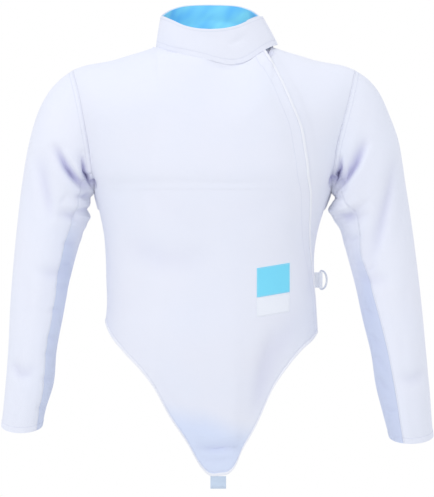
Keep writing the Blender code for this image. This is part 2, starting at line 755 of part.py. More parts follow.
def collar():
    turns = np.arange(COLLAR_START, COLLAR_END + 1, COLLAR_TURN_STEP, dtype=float)
    grid = collar_grid(turns)
    way = directions(grid, -1)
    outer, inner = drawn_in(grid, grid - way * COLLAR_CLOTH)
    add("collar", wall_mesh("collar", outer, inner, -1), "white_cloth")
    columns = int((LINING_END - COLLAR_START) / COLLAR_TURN_STEP) + 1
    step_in = COLLAR_CLOTH + SEAM_GAP
    ways = unit(grid[0, :columns] - grid[1, :columns])
    outer = (grid - way * step_in)[:, :columns].copy()
    outer[0] -= ways * LINING_BELOW_RIM
    inner = outer - way[:, :columns] * LINING_CLOTH
    outer, inner = drawn_in(outer, inner)
    add("collar_lining", wall_mesh("collar_lining", outer, inner, -1), "blue_lining")


# Labels


def on_facets(grid, ways, x, z):
    """The point of a faceted grid seen from the front at x and z, and the direction out of it there."""
    for r in range(grid.shape[0] - 1):
        for c in range(grid.shape[1] - 1):
            quad = ((r, c), (r, c + 1), (r + 1, c + 1), (r + 1, c))
            for corners in ((quad[0], quad[1], quad[2]), (quad[0], quad[2], quad[3])):
                a, b, d = (grid[corner] for corner in corners)
                sides = np.array([[b[0] - a[0], d[0] - a[0]], [b[2] - a[2], d[2] - a[2]]])
                if abs(np.linalg.det(sides)) < 1e-12:
                    continue
                s, t = np.linalg.solve(sides, [x - a[0], z - a[2]])
                if s >= -1e-9 and t >= -1e-9 and s + t <= 1 + 1e-9:
                    normals = [ways[corner] for corner in corners]
                    way = normals[0] * (1 - s - t) + normals[1] * s + normals[2] * t
                    return a + (b - a) * s + (d - a) * t, unit(way)
    raise ValueError("that place isn't on the panel")


def label(name, finish, top_z, height, flap, ways):
    points = []
    normals = []
    for down in np.linspace(0, 1, LABEL_CELLS):
        row = []
        row_ways = []
        for across in np.linspace(-0.5, 0.5, LABEL_CELLS + 1):
            x = LABEL_X + across * LABEL_WIDTH
            z = top_z + across * LABEL_CLIMB - down * height
            point, way = on_facets(flap, ways, x, z)
            row.append(point)
            row_ways.append(way)
        points.append(row)
        normals.append(row_ways)
    grid = np.array(points)
    way = np.array(normals)
    outer = grid + way * (LABEL_LIFT + LABEL_THICKNESS)
    inner = grid + way * LABEL_LIFT
    add(name, wall_mesh(name, outer, inner, -1), finish)


def labels(flap, ways):
    label("label_upper", "blue_label", LABEL_TOP_Z, UPPER_LABEL_HEIGHT, flap, ways)
    lower_z = LABEL_TOP_Z - UPPER_LABEL_HEIGHT - LABEL_GAP
    label("label_lower", "white_label", lower_z, LOWER_LABEL_HEIGHT, flap, ways)


# Webbing and D-ring


def loop_outline(reach, hole, root):
    """A webbing loop's side view, as outer and inner rings of (out, across) points: two layers joined at the root."""
    turns = np.radians(np.linspace(-LOOP_ARC_TURN, LOOP_ARC_TURN, LOOP_ARC_CELLS + 1))
    middle = reach - hole - WEBBING
    arc = np.stack([np.cos(turns), np.sin(turns)], axis=1)
    outer_arc = arc * (hole + WEBBING) + [middle, 0]
    inner_arc = arc * hole + [middle, 0]
    outer = np.concatenate([[(0, WEBBING), (0, -WEBBING), (root, -WEBBING)], outer_arc, [(root, WEBBING)]])
    slit = WEBBING_SLIT / 2
    inner = np.concatenate([
        [(root, slit), (root, -slit), (root + slit, -slit)],
        inner_arc,
        [(root + slit, slit)],
    ])
    return outer, inner


def loop_mesh(name, reach, hole, root, width, place):
    """The loop's outline carried across the webbing's width; place turns (out, across, along) into a point."""
    outer, inner = loop_outline(reach, hole, root)
    count = len(outer)
    points = []
    for along in (-width / 2, width / 2):
        points += [place(out, across, along) for out, across in outer]
        points += [place(out, across, along) for out, across in inner]
    faces = []
    for i in range(count):
        j = (i + 1) % count
        near_outer, near_inner = (i, j), (i + count, j + count)
        far_outer, far_inner = (i + 2 * count, j + 2 * count), (i + 3 * count, j + 3 * count)
        faces.append((near_inner[0], near_inner[1], near_outer[1], near_outer[0]))
        faces.append((far_inner[1], far_inner[0], far_outer[0], far_outer[1]))
        faces.append((far_outer[1], far_outer[0], near_outer[0], near_outer[1]))
        faces.append((far_inner[0], far_inner[1], near_inner[1], near_inner[0]))
    mesh = bpy.data.meshes.new(name)
    mesh.from_pydata([tuple(point) for point in points], [], faces)
    mesh.update()
    return mesh


def crotch_loop(flap):
    row = flap[-1]
    lowest = np.array([np.interp(CROTCH_LOOP_X, row[:, 0], row[:, n]) for n in range(3)])
    half = CROTCH_LOOP_WIDTH / 2
    beside = [np.interp(CROTCH_LOOP_X + side, row[:, 0], row[:, 2]) for side in np.linspace(-half, half, 9)]
    top = min(beside) - 2 * SEAM_GAP
    y = lowest[1] + CLOTH / 2

    def place(out, across, along):
        return (CROTCH_LOOP_X + along, y + across, top - out)

    mesh = loop_mesh("crotch_loop", CROTCH_LOOP_LENGTH, CROTCH_LOOP_HOLE, CROTCH_LOOP_ROOT, CROTCH_LOOP_WIDTH, place)
    add("crotch_loop", mesh, "webbing")


def tab_side(z):
    return read(BODY, "right", z) + SEAM_GAP


def ring_tab():
    start = tab_side(TAB_Z)

    def place(out, across, along):
        x = tab_side(TAB_Z + along) if out == 0 else start + out
        return (x, SIDE_Y + across, TAB_Z + along)

    mesh = loop_mesh("ring_tab", TAB_REACH, TAB_HOLE, TAB_ROOT, TAB_WIDTH, place)
    add("ring_tab", mesh, "webbing")


def ring_path():
    """The D's middle line as (out, up) from the middle of its straight bar."""
    straight = RING_HALF_HEIGHT - RING_CORNER
    points = [(0.0, -straight), (0.0, straight)]
    for turn in np.radians(np.linspace(180, 90, RING_CORNER_CELLS + 1)[1:]):
        points.append((RING_CORNER + RING_CORNER * np.cos(turn), straight + RING_CORNER * np.sin(turn)))
    for turn in np.radians(np.linspace(90, -90, RING_BOW_CELLS + 1)[1:]):
        points.append((RING_CORNER + RING_BOW * np.cos(turn), RING_HALF_HEIGHT * np.sin(turn)))
    for turn in np.radians(np.linspace(-90, -180, RING_CORNER_CELLS + 1)[1:-1]):
        points.append((RING_CORNER + RING_CORNER * np.cos(turn), -straight + RING_CORNER * np.sin(turn)))
    return points


def d_ring():
    curve = bpy.data.curves.new("d_ring", "CURVE")
    curve.dimensions = "3D"
    curve.bevel_depth = RING_WIRE
    curve.bevel_resolution = 2
    path = ring_path()
    spline = curve.splines.new("POLY")
    spline.points.add(len(path) - 1)
    spline.use_cyclic_u = True
    for point, (out, up) in zip(spline.points, path):
        point.co = (out, 0.0, up, 1.0)
    ring = bpy.data.objects.new("d_ring", curve)
    curve.materials.append(material("d_ring", "steel"))
    hinge = bpy.data.objects.new("d_ring_hinge", None)
    hinge.location = (tab_side(TAB_Z) + TAB_REACH - TAB_HOLE - WEBBING, SIDE_Y, TAB_Z)
    hinge.rotation_euler = (0.0, 0.0, np.radians(RING_TURN))
    ring.parent = hinge
    bpy.context.scene.collection.objects.link(hinge)
    bpy.context.scene.collection.objects.link(ring)


def main():
    clear_scene()
    flap, ways = body_and_sleeves()
    strips(flap, ways)
    collar()
    labels(flap, ways)
    crotch_loop(flap)
    ring_tab()
    d_ring()


main()
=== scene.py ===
"""The looks of a fencing jacket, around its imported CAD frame.

Each piece of cloth is a thin shell on its solid's form, worked out from the same tables with finer cells, with more
folds, seams, hems and stitching. Metres, in the frame's own axes: +Z up, the front faces -Y.
"""

import bmesh
import bpy
import numpy as np
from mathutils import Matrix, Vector

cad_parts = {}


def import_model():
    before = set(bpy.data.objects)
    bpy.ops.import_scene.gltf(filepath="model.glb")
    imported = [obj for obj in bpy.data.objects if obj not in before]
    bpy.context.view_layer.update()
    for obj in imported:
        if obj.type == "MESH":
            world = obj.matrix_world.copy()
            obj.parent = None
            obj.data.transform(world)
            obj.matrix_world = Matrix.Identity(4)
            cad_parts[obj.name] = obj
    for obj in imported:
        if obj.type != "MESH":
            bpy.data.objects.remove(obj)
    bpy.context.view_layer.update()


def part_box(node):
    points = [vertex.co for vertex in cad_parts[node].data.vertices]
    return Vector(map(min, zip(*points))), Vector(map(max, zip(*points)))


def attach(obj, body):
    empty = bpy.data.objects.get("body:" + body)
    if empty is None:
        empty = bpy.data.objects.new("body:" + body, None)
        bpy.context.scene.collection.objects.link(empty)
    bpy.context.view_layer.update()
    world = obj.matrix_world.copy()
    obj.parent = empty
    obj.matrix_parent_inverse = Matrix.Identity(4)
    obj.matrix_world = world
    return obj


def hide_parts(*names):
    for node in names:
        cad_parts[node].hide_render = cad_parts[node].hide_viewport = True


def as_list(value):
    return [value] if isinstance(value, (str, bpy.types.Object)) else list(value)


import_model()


def table(columns, *rows):
    """Named columns, with the rows in rising order of the first one."""
    rows = sorted(rows)
    return {name: np.array([row[i] for row in rows]) for i, name in enumerate(columns.split())}


# Walls, seams and strips
CLOTH = 0.0020
COLLAR_CLOTH = 0.0025
LINING_CLOTH = 0.0010
SEAM_GAP = 0.0003
EDGE_DRAW = 0.0001
LAP_GAP = 0.0004
STRIP_THICKNESS = 0.0010
FLAP_STRIP_WIDTH = 0.0052
BINDING_WIDTH = 0.0050
LABEL_THICKNESS = 0.0006
MITRE_LIMIT = 0.6
SAME_POINT = 0.00001
SHARP_ANGLE = 50.0

# How many cells each wall has
ARM_ROWS = 12
LOW_ROWS = 14
SHOULDER_CELLS = 6
SLEEVE_ROWS = 22

# Body sections: height, the edges seen from the front, the share of the round that a panel reaches there, and how far
# the front and the back stand out from the side seams
ROUND = 2.3
SIDE_Y = -0.002
BODY = table(
    "z left right reach front back",
    (-0.021, -0.228, 0.228, 0.860, 0.100, 0.090),
    (-0.060, -0.217, 0.219, 0.880, 0.108, 0.099),
    (-0.110, -0.207, 0.206, 0.905, 0.116, 0.107),
    (-0.151, -0.200, 0.196, 0.930, 0.120, 0.111),
    (-0.190, -0.196, 0.193, 0.960, 0.122, 0.112),
    (-0.218, -0.193, 0.189, 1.000, 0.121, 0.111),
    (-0.251, -0.185, 0.177, 1.000, 0.118, 0.107),
    (-0.286, -0.178, 0.167, 1.000, 0.114, 0.102),
    (-0.323, -0.175, 0.162, 1.000, 0.110, 0.097),
    (-0.361, -0.174, 0.163, 1.000, 0.108, 0.094),
    (-0.400, -0.173, 0.165, 1.000, 0.108, 0.094),
    (-0.445, -0.177, 0.168, 1.000, 0.109, 0.095),
    (-0.520, -0.177, 0.168, 1.000, 0.104, 0.095),
    (-0.600, -0.177, 0.168, 1.000, 0.093, 0.095),
    (-0.672, -0.177, 0.168, 1.000, 0.076, 0.095),
)
PIT_Z = -0.218

# Neck and shoulder line
NECK_X = 0.094
NECK_Y = -0.005
NECK_FRONT = 0.070
NECK_BACK = 0.070
NECK_POINT_Z = 0.016
BACK_NECK_Z = 0.028
SHOULDER_X = 0.228
SHOULDER_Y = 0.000
NECKLINE = table(
    "x z",
    (-0.094, 0.016),
    (-0.070, 0.006),
    (-0.040, -0.001),
    (-0.015, -0.007),
    (0.006, -0.013),
    (0.027, -0.0165),
    (0.043, -0.0150),
    (0.057, -0.0085),
    (0.071, 0.0020),
    (0.083, 0.0100),
    (0.094, 0.016),
)
SHOULDER = table(
    "x z",
    (0.094, 0.016),
    (0.118, 0.008),
    (0.142, 0.001),
    (0.165, -0.006),
    (0.186, -0.010),
    (0.208, -0.014),
    (0.228, -0.021),
)
NECK_DROP = 0.115
SHOULDER_DROP = 0.095
NECK_BEND = 1.1
SHOULDER_BEND = 2.0

# The flap's edge on the front and the edge of the piece under it, as shares of the body's half width
FLAP_TURN = 60.0
UNDER_TURN = 40.0
FLAP = table(
    "z edge under",
    (0.011, 0.357, 0.265),
    (-0.027, 0.451, 0.345),
    (-0.075, 0.575, 0.458),
    (-0.123, 0.705, 0.582),
    (-0.170, 0.775, 0.648),
    (-0.191, 0.790, 0.660),
    (-0.251, 0.884, 0.745),
    (-0.308, 0.956, 0.830),
    (-0.340, 0.985, 0.885),
    (-0.380, 0.995, 0.915),
    (-0.445, 0.995, 0.915),
)
FLAP_FIRST_SHARE = 0.5
FLAP_PASSES = 12
LAP_COLUMNS = 3
LAP_FADE = 0.040

# Where the columns of the panels stand, as turns from the middle
POINT_LEFT_TURN = -2.0
POINT_RIGHT_TURN = 10.0
BESIDE_POINT_CELLS = 9
POINT_CELLS = 3
NECK_TURN_STEP = 10
BACK_NECK_TURN = 70
BACK_NECK_STEP = 20

# The front's hem, seen from the front, and the back's
FRONT_HEM = table(
    "x z",
    (-0.177, -0.428),
    (-0.168, -0.445),
    (-0.144, -0.475),
    (-0.116, -0.505),
    (-0.095, -0.533),
    (-0.071, -0.577),
    (-0.0415, -0.622),
    (-0.0208, -0.659),
    (-0.009, -0.671),
    (0.011, -0.672),
    (0.0255, -0.668),
    (0.034, -0.658),
    (0.0455, -0.631),
    (0.0593, -0.607),
    (0.0715, -0.584),
    (0.094, -0.535),
    (0.108, -0.513),
    (0.125, -0.490),
    (0.142, -0.471),
    (0.160, -0.455),
    (0.168, -0.4445),
)
BACK_HEM_SAG = 0.018

# Sleeve sections from armhole to cuff: the ends of each one seen from the front, half its depth, how far its middle
# stands from y = 0, and the turn of the front seam from the outer side
SLEEVE_RIGHT = table(
    "station outer_x outer_z inner_x inner_z depth y seam",
    (0, -0.228, -0.021, -0.193, -0.218, 0.063, 0.002, 135),
    (1, -0.250, -0.037, -0.197, -0.228, 0.066, 0.004, 135),
    (2, -0.270, -0.060, -0.201, -0.240, 0.068, 0.006, 135),
    (3, -0.287, -0.094, -0.204, -0.256, 0.069, 0.008, 134),
    (4, -0.3005, -0.142, -0.207, -0.275, 0.067, 0.010, 133),
    (5, -0.3105, -0.199, -0.217, -0.300, 0.063, 0.011, 131),
    (6, -0.318, -0.262, -0.226, -0.330, 0.059, 0.010, 129),
    (7, -0.3245, -0.330, -0.235, -0.368, 0.056, 0.006, 131),
    (8, -0.3295, -0.400, -0.244, -0.418, 0.052, -0.002, 131),
    (9, -0.332, -0.470, -0.254, -0.474, 0.048, -0.012, 129),
    (10, -0.336, -0.530, -0.258, -0.525, 0.045, -0.021, 131),
    (11, -0.340, -0.575, -0.270, -0.566, 0.042, -0.027, 137),
    (12, -0.342, -0.594, -0.276, -0.594, 0.041, -0.029, 139),
)
SLEEVE_LEFT = table(
    "station outer_x outer_z inner_x inner_z depth y seam",
    (0, 0.228, -0.021, 0.189, -0.218, 0.063, 0.002, 135),
    (1, 0.250, -0.036, 0.193, -0.229, 0.066, 0.004, 135),
    (2, 0.268, -0.058, 0.190, -0.245, 0.068, 0.006, 134),
    (3, 0.283, -0.090, 0.194, -0.263, 0.070, 0.008, 131),
    (4, 0.300, -0.138, 0.205, -0.280, 0.068, 0.010, 127),
    (5, 0.311, -0.205, 0.211, -0.302, 0.064, 0.011, 124),
    (6, 0.321, -0.272, 0.220, -0.334, 0.060, 0.010, 132),
    (7, 0.329, -0.335, 0.230, -0.373, 0.057, 0.006, 127),
    (8, 0.336, -0.400, 0.241, -0.425, 0.053, -0.002, 120),
    (9, 0.342, -0.470, 0.254, -0.480, 0.049, -0.012, 116),
    (10, 0.348, -0.540, 0.261, -0.530, 0.046, -0.021, 111),
    (11, 0.351, -0.588, 0.272, -0.575, 0.043, -0.028, 112),
    (12, 0.353, -0.610, 0.282, -0.612, 0.042, -0.030, 114),
)
SLEEVE_SEAM_CELL = 9
SLEEVE_SEAM_TURN = SLEEVE_SEAM_CELL * 180 / ARM_ROWS
ARMHOLE_BLEND = 1.8
CUFF_DROP = 0.011
CUFF_DROP_FROM = 10.0

# Collar: its base is the neckline, its rim is this ring; it starts under the flap at one turn from the middle of the
# front and comes round to lap over itself
RIM_X = 0.0805
RIM_MIDDLE_X = -0.0055
RIM_FRONT = 0.062
RIM_BACK = 0.064
RIM = table(
    "turn z",
    (0, 0.0410),
    (15, 0.0425),
    (30, 0.0470),
    (50, 0.0570),
    (70, 0.0640),
    (90, 0.0665),
    (110, 0.0730),
    (127, 0.0805),
    (145, 0.0868),
    (165, 0.0895),
    (180, 0.0900),
)
COLLAR_START = 50
COLLAR_END = 450
COLLAR_BOW = 0.0005
LAP_FLARE_FROM = 370.0
LAP_FLARE_BASE = 0.0095
LAP_FLARE_RIM = 0.0035
LAP_LIFT = 0.004
UNDER_INSET = 0.0032
UNDER_INSET_TO = 130.0
LINING_BELOW_RIM = 0.0015
LINING_END = 400

# Folds, each from one point through a second to a third as seen from the front or the back: how deep and how wide the
# trough is (a negative depth is a ridge), where along it is deepest, and the face it is on (-1 the front, 1 the back)
FOLDS = table(
    "x0 z0 x1 z1 x2 z2 depth width peak face",
    (-0.262, -0.140, -0.225, -0.191, -0.194, -0.217, 0.0075, 0.011, 0.60, -1),
    (-0.214, -0.150, -0.206, -0.191, -0.194, -0.216, 0.0055, 0.008, 0.60, -1),
    (-0.281, -0.150, -0.270, -0.215, -0.258, -0.268, 0.0045, 0.013, 0.45, -1),
    (-0.200, -0.252, -0.225, -0.256, -0.252, -0.252, 0.0045, 0.009, 0.30, -1),
    (-0.228, -0.345, -0.250, -0.352, -0.290, -0.345, 0.0035, 0.012, 0.35, -1),
    (-0.330, -0.497, -0.305, -0.508, -0.275, -0.505, 0.0035, 0.012, 0.40, -1),
    (0.248, -0.128, 0.224, -0.175, 0.191, -0.216, 0.0075, 0.011, 0.60, -1),
    (0.204, -0.160, 0.198, -0.188, 0.190, -0.216, 0.0050, 0.008, 0.60, -1),
    (0.295, -0.150, 0.281, -0.225, 0.243, -0.350, 0.0050, 0.012, 0.55, -1),
    (0.194, -0.258, 0.222, -0.262, 0.252, -0.255, 0.0045, 0.009, 0.30, -1),
    (0.226, -0.350, 0.250, -0.362, 0.285, -0.360, 0.0035, 0.012, 0.35, -1),
    (0.345, -0.505, 0.318, -0.520, 0.285, -0.515, 0.0035, 0.012, 0.40, -1),
    (0.150, -0.400, 0.095, -0.480, 0.062, -0.590, 0.0040, 0.022, 0.50, -1),
    (-0.150, -0.300, -0.080, -0.330, 0.010, -0.325, 0.0030, 0.026, 0.40, -1),
    (-0.034, -0.628, 0.004, -0.631, 0.044, -0.626, 0.0025, 0.008, 0.50, -1),
    (-0.262, -0.150, -0.225, -0.196, -0.195, -0.217, 0.0070, 0.012, 0.60, 1),
    (-0.285, -0.165, -0.268, -0.230, -0.240, -0.300, 0.0040, 0.013, 0.45, 1),
    (-0.230, -0.360, -0.262, -0.372, -0.310, -0.362, 0.0040, 0.013, 0.50, 1),
    (0.255, -0.140, 0.226, -0.186, 0.192, -0.217, 0.0070, 0.012, 0.60, 1),
    (0.292, -0.170, 0.276, -0.240, 0.246, -0.310, 0.0040, 0.013, 0.45, 1),
    (0.232, -0.366, 0.264, -0.380, 0.318, -0.368, 0.0040, 0.013, 0.50, 1),
    (-0.175, -0.240, -0.110, -0.262, -0.030, -0.258, 0.0040, 0.020, 0.35, 1),
    (0.165, -0.235, 0.100, -0.268, 0.020, -0.272, 0.0040, 0.020, 0.35, 1),
    (-0.160, -0.340, -0.050, -0.352, 0.080, -0.345, 0.0035, 0.018, 0.45, 1),
)
FACING_FROM = -0.15
FACING_TO = 0.35
FOLD_FULLNESS = 0.8

# Labels on the front: the middle of the upper edge, how much that edge climbs over the label's width, and the sizes
LABEL_X = 0.0945
LABEL_TOP_Z = -0.337
LABEL_CLIMB = 0.0085
LABEL_WIDTH = 0.0525
UPPER_LABEL_HEIGHT = 0.0465
LOWER_LABEL_HEIGHT = 0.0300
LABEL_GAP = 0.0010

# Webbing loops: one hangs from the point of the hem, the other stands out from the side seam and holds the D-ring
WEBBING = 0.0012
WEBBING_SLIT = 0.0004
CROTCH_LOOP_WIDTH = 0.025
CROTCH_LOOP_X = 0.007
CROTCH_LOOP_LENGTH = 0.0200
CROTCH_LOOP_HOLE = 0.0035
CROTCH_LOOP_ROOT = 0.008
TAB_WIDTH = 0.025
TAB_Z = -0.361
TAB_REACH = 0.0125
TAB_HOLE = 0.0024
TAB_ROOT = 0.0050
LOOP_ARC_CELLS = 12
LOOP_ARC_TURN = 115.0

# D-ring
RING_WIRE = 0.0016
RING_HALF_HEIGHT = 0.0149
RING_CORNER = 0.0030
RING_BOW = 0.0140
RING_TURN = 50.0
RING_CORNER_CELLS = 3
RING_BOW_CELLS = 14

# Cells of the fine shells
FINE = 6
SLEEVE_FINE = 9
NEAR_EDGE = (0.03, 0.07, 0.12, 0.2, 0.32)
COLLAR_FINE_STEP = 1.5
COLLAR_FINE_ROWS = 30
COLLAR_RIM_STEPS = np.array([0.0015, 0.005, 0.010, 0.017])
COLLAR_END_STEPS = np.array([0.06, 0.2, 0.45, 0.8])
LINING_ROWS = 16
LABEL_FINE = 29
RING_SIDES = 14

# Seams, hems and stitches
SEAM_DEPTH = 0.00025
SEAM_HALF_WIDTH = 0.0018
HEM_THICKNESS = 0.0006
HEM_STEP = 0.0020
CUFF_HEM = 0.0095
STITCH_SPACING = 0.0032
STITCH_LENGTH = 0.0025
STITCH_WIDTH = 0.0004
STITCH_LIFT = 0.0001
SEAMS = {
    "front_right": ["top", "left"],
    "front_left": ["top", "right"],
    "back": ["top", "left", "right"],
    "sleeve_right_upper": ["top", "left", "right"],
    "sleeve_right_under": ["top", "left", "right"],
    "sleeve_left_upper": ["top", "left", "right"],
    "sleeve_left_under": ["top", "left", "right"],
}
STITCH_LINES = {
    "front_right": [("right", 0.0056), ("right", 0.0225), ("bottom", 0.0072), ("top", 0.0025)],
    "front_left": [("bottom", 0.0072), ("top", 0.0025)],
    "back": [("bottom", 0.0090), ("top", 0.0025)],
    "sleeve_right_upper": [("top", 0.0020), ("top", 0.0080), ("bottom", 0.0090), ("left", 0.0022), ("right", 0.0022)],
    "sleeve_right_under": [("top", 0.0020), ("top", 0.0080), ("bottom", 0.0090)],
    "sleeve_left_upper": [("top", 0.0020), ("top", 0.0080), ("bottom", 0.0090), ("left", 0.0022), ("right", 0.0022)],
    "sleeve_left_under": [("top", 0.0020), ("top", 0.0080), ("bottom", 0.0090)],
}
COLLAR_STITCHES = [("top", 0.0045), ("right", 0.0045), ("right", 0.0200), ("bottom", 0.0085)]
LABEL_STITCH = 0.0016
LABEL_FLOAT = 0.0001
LINING_DEEP = 0.0560

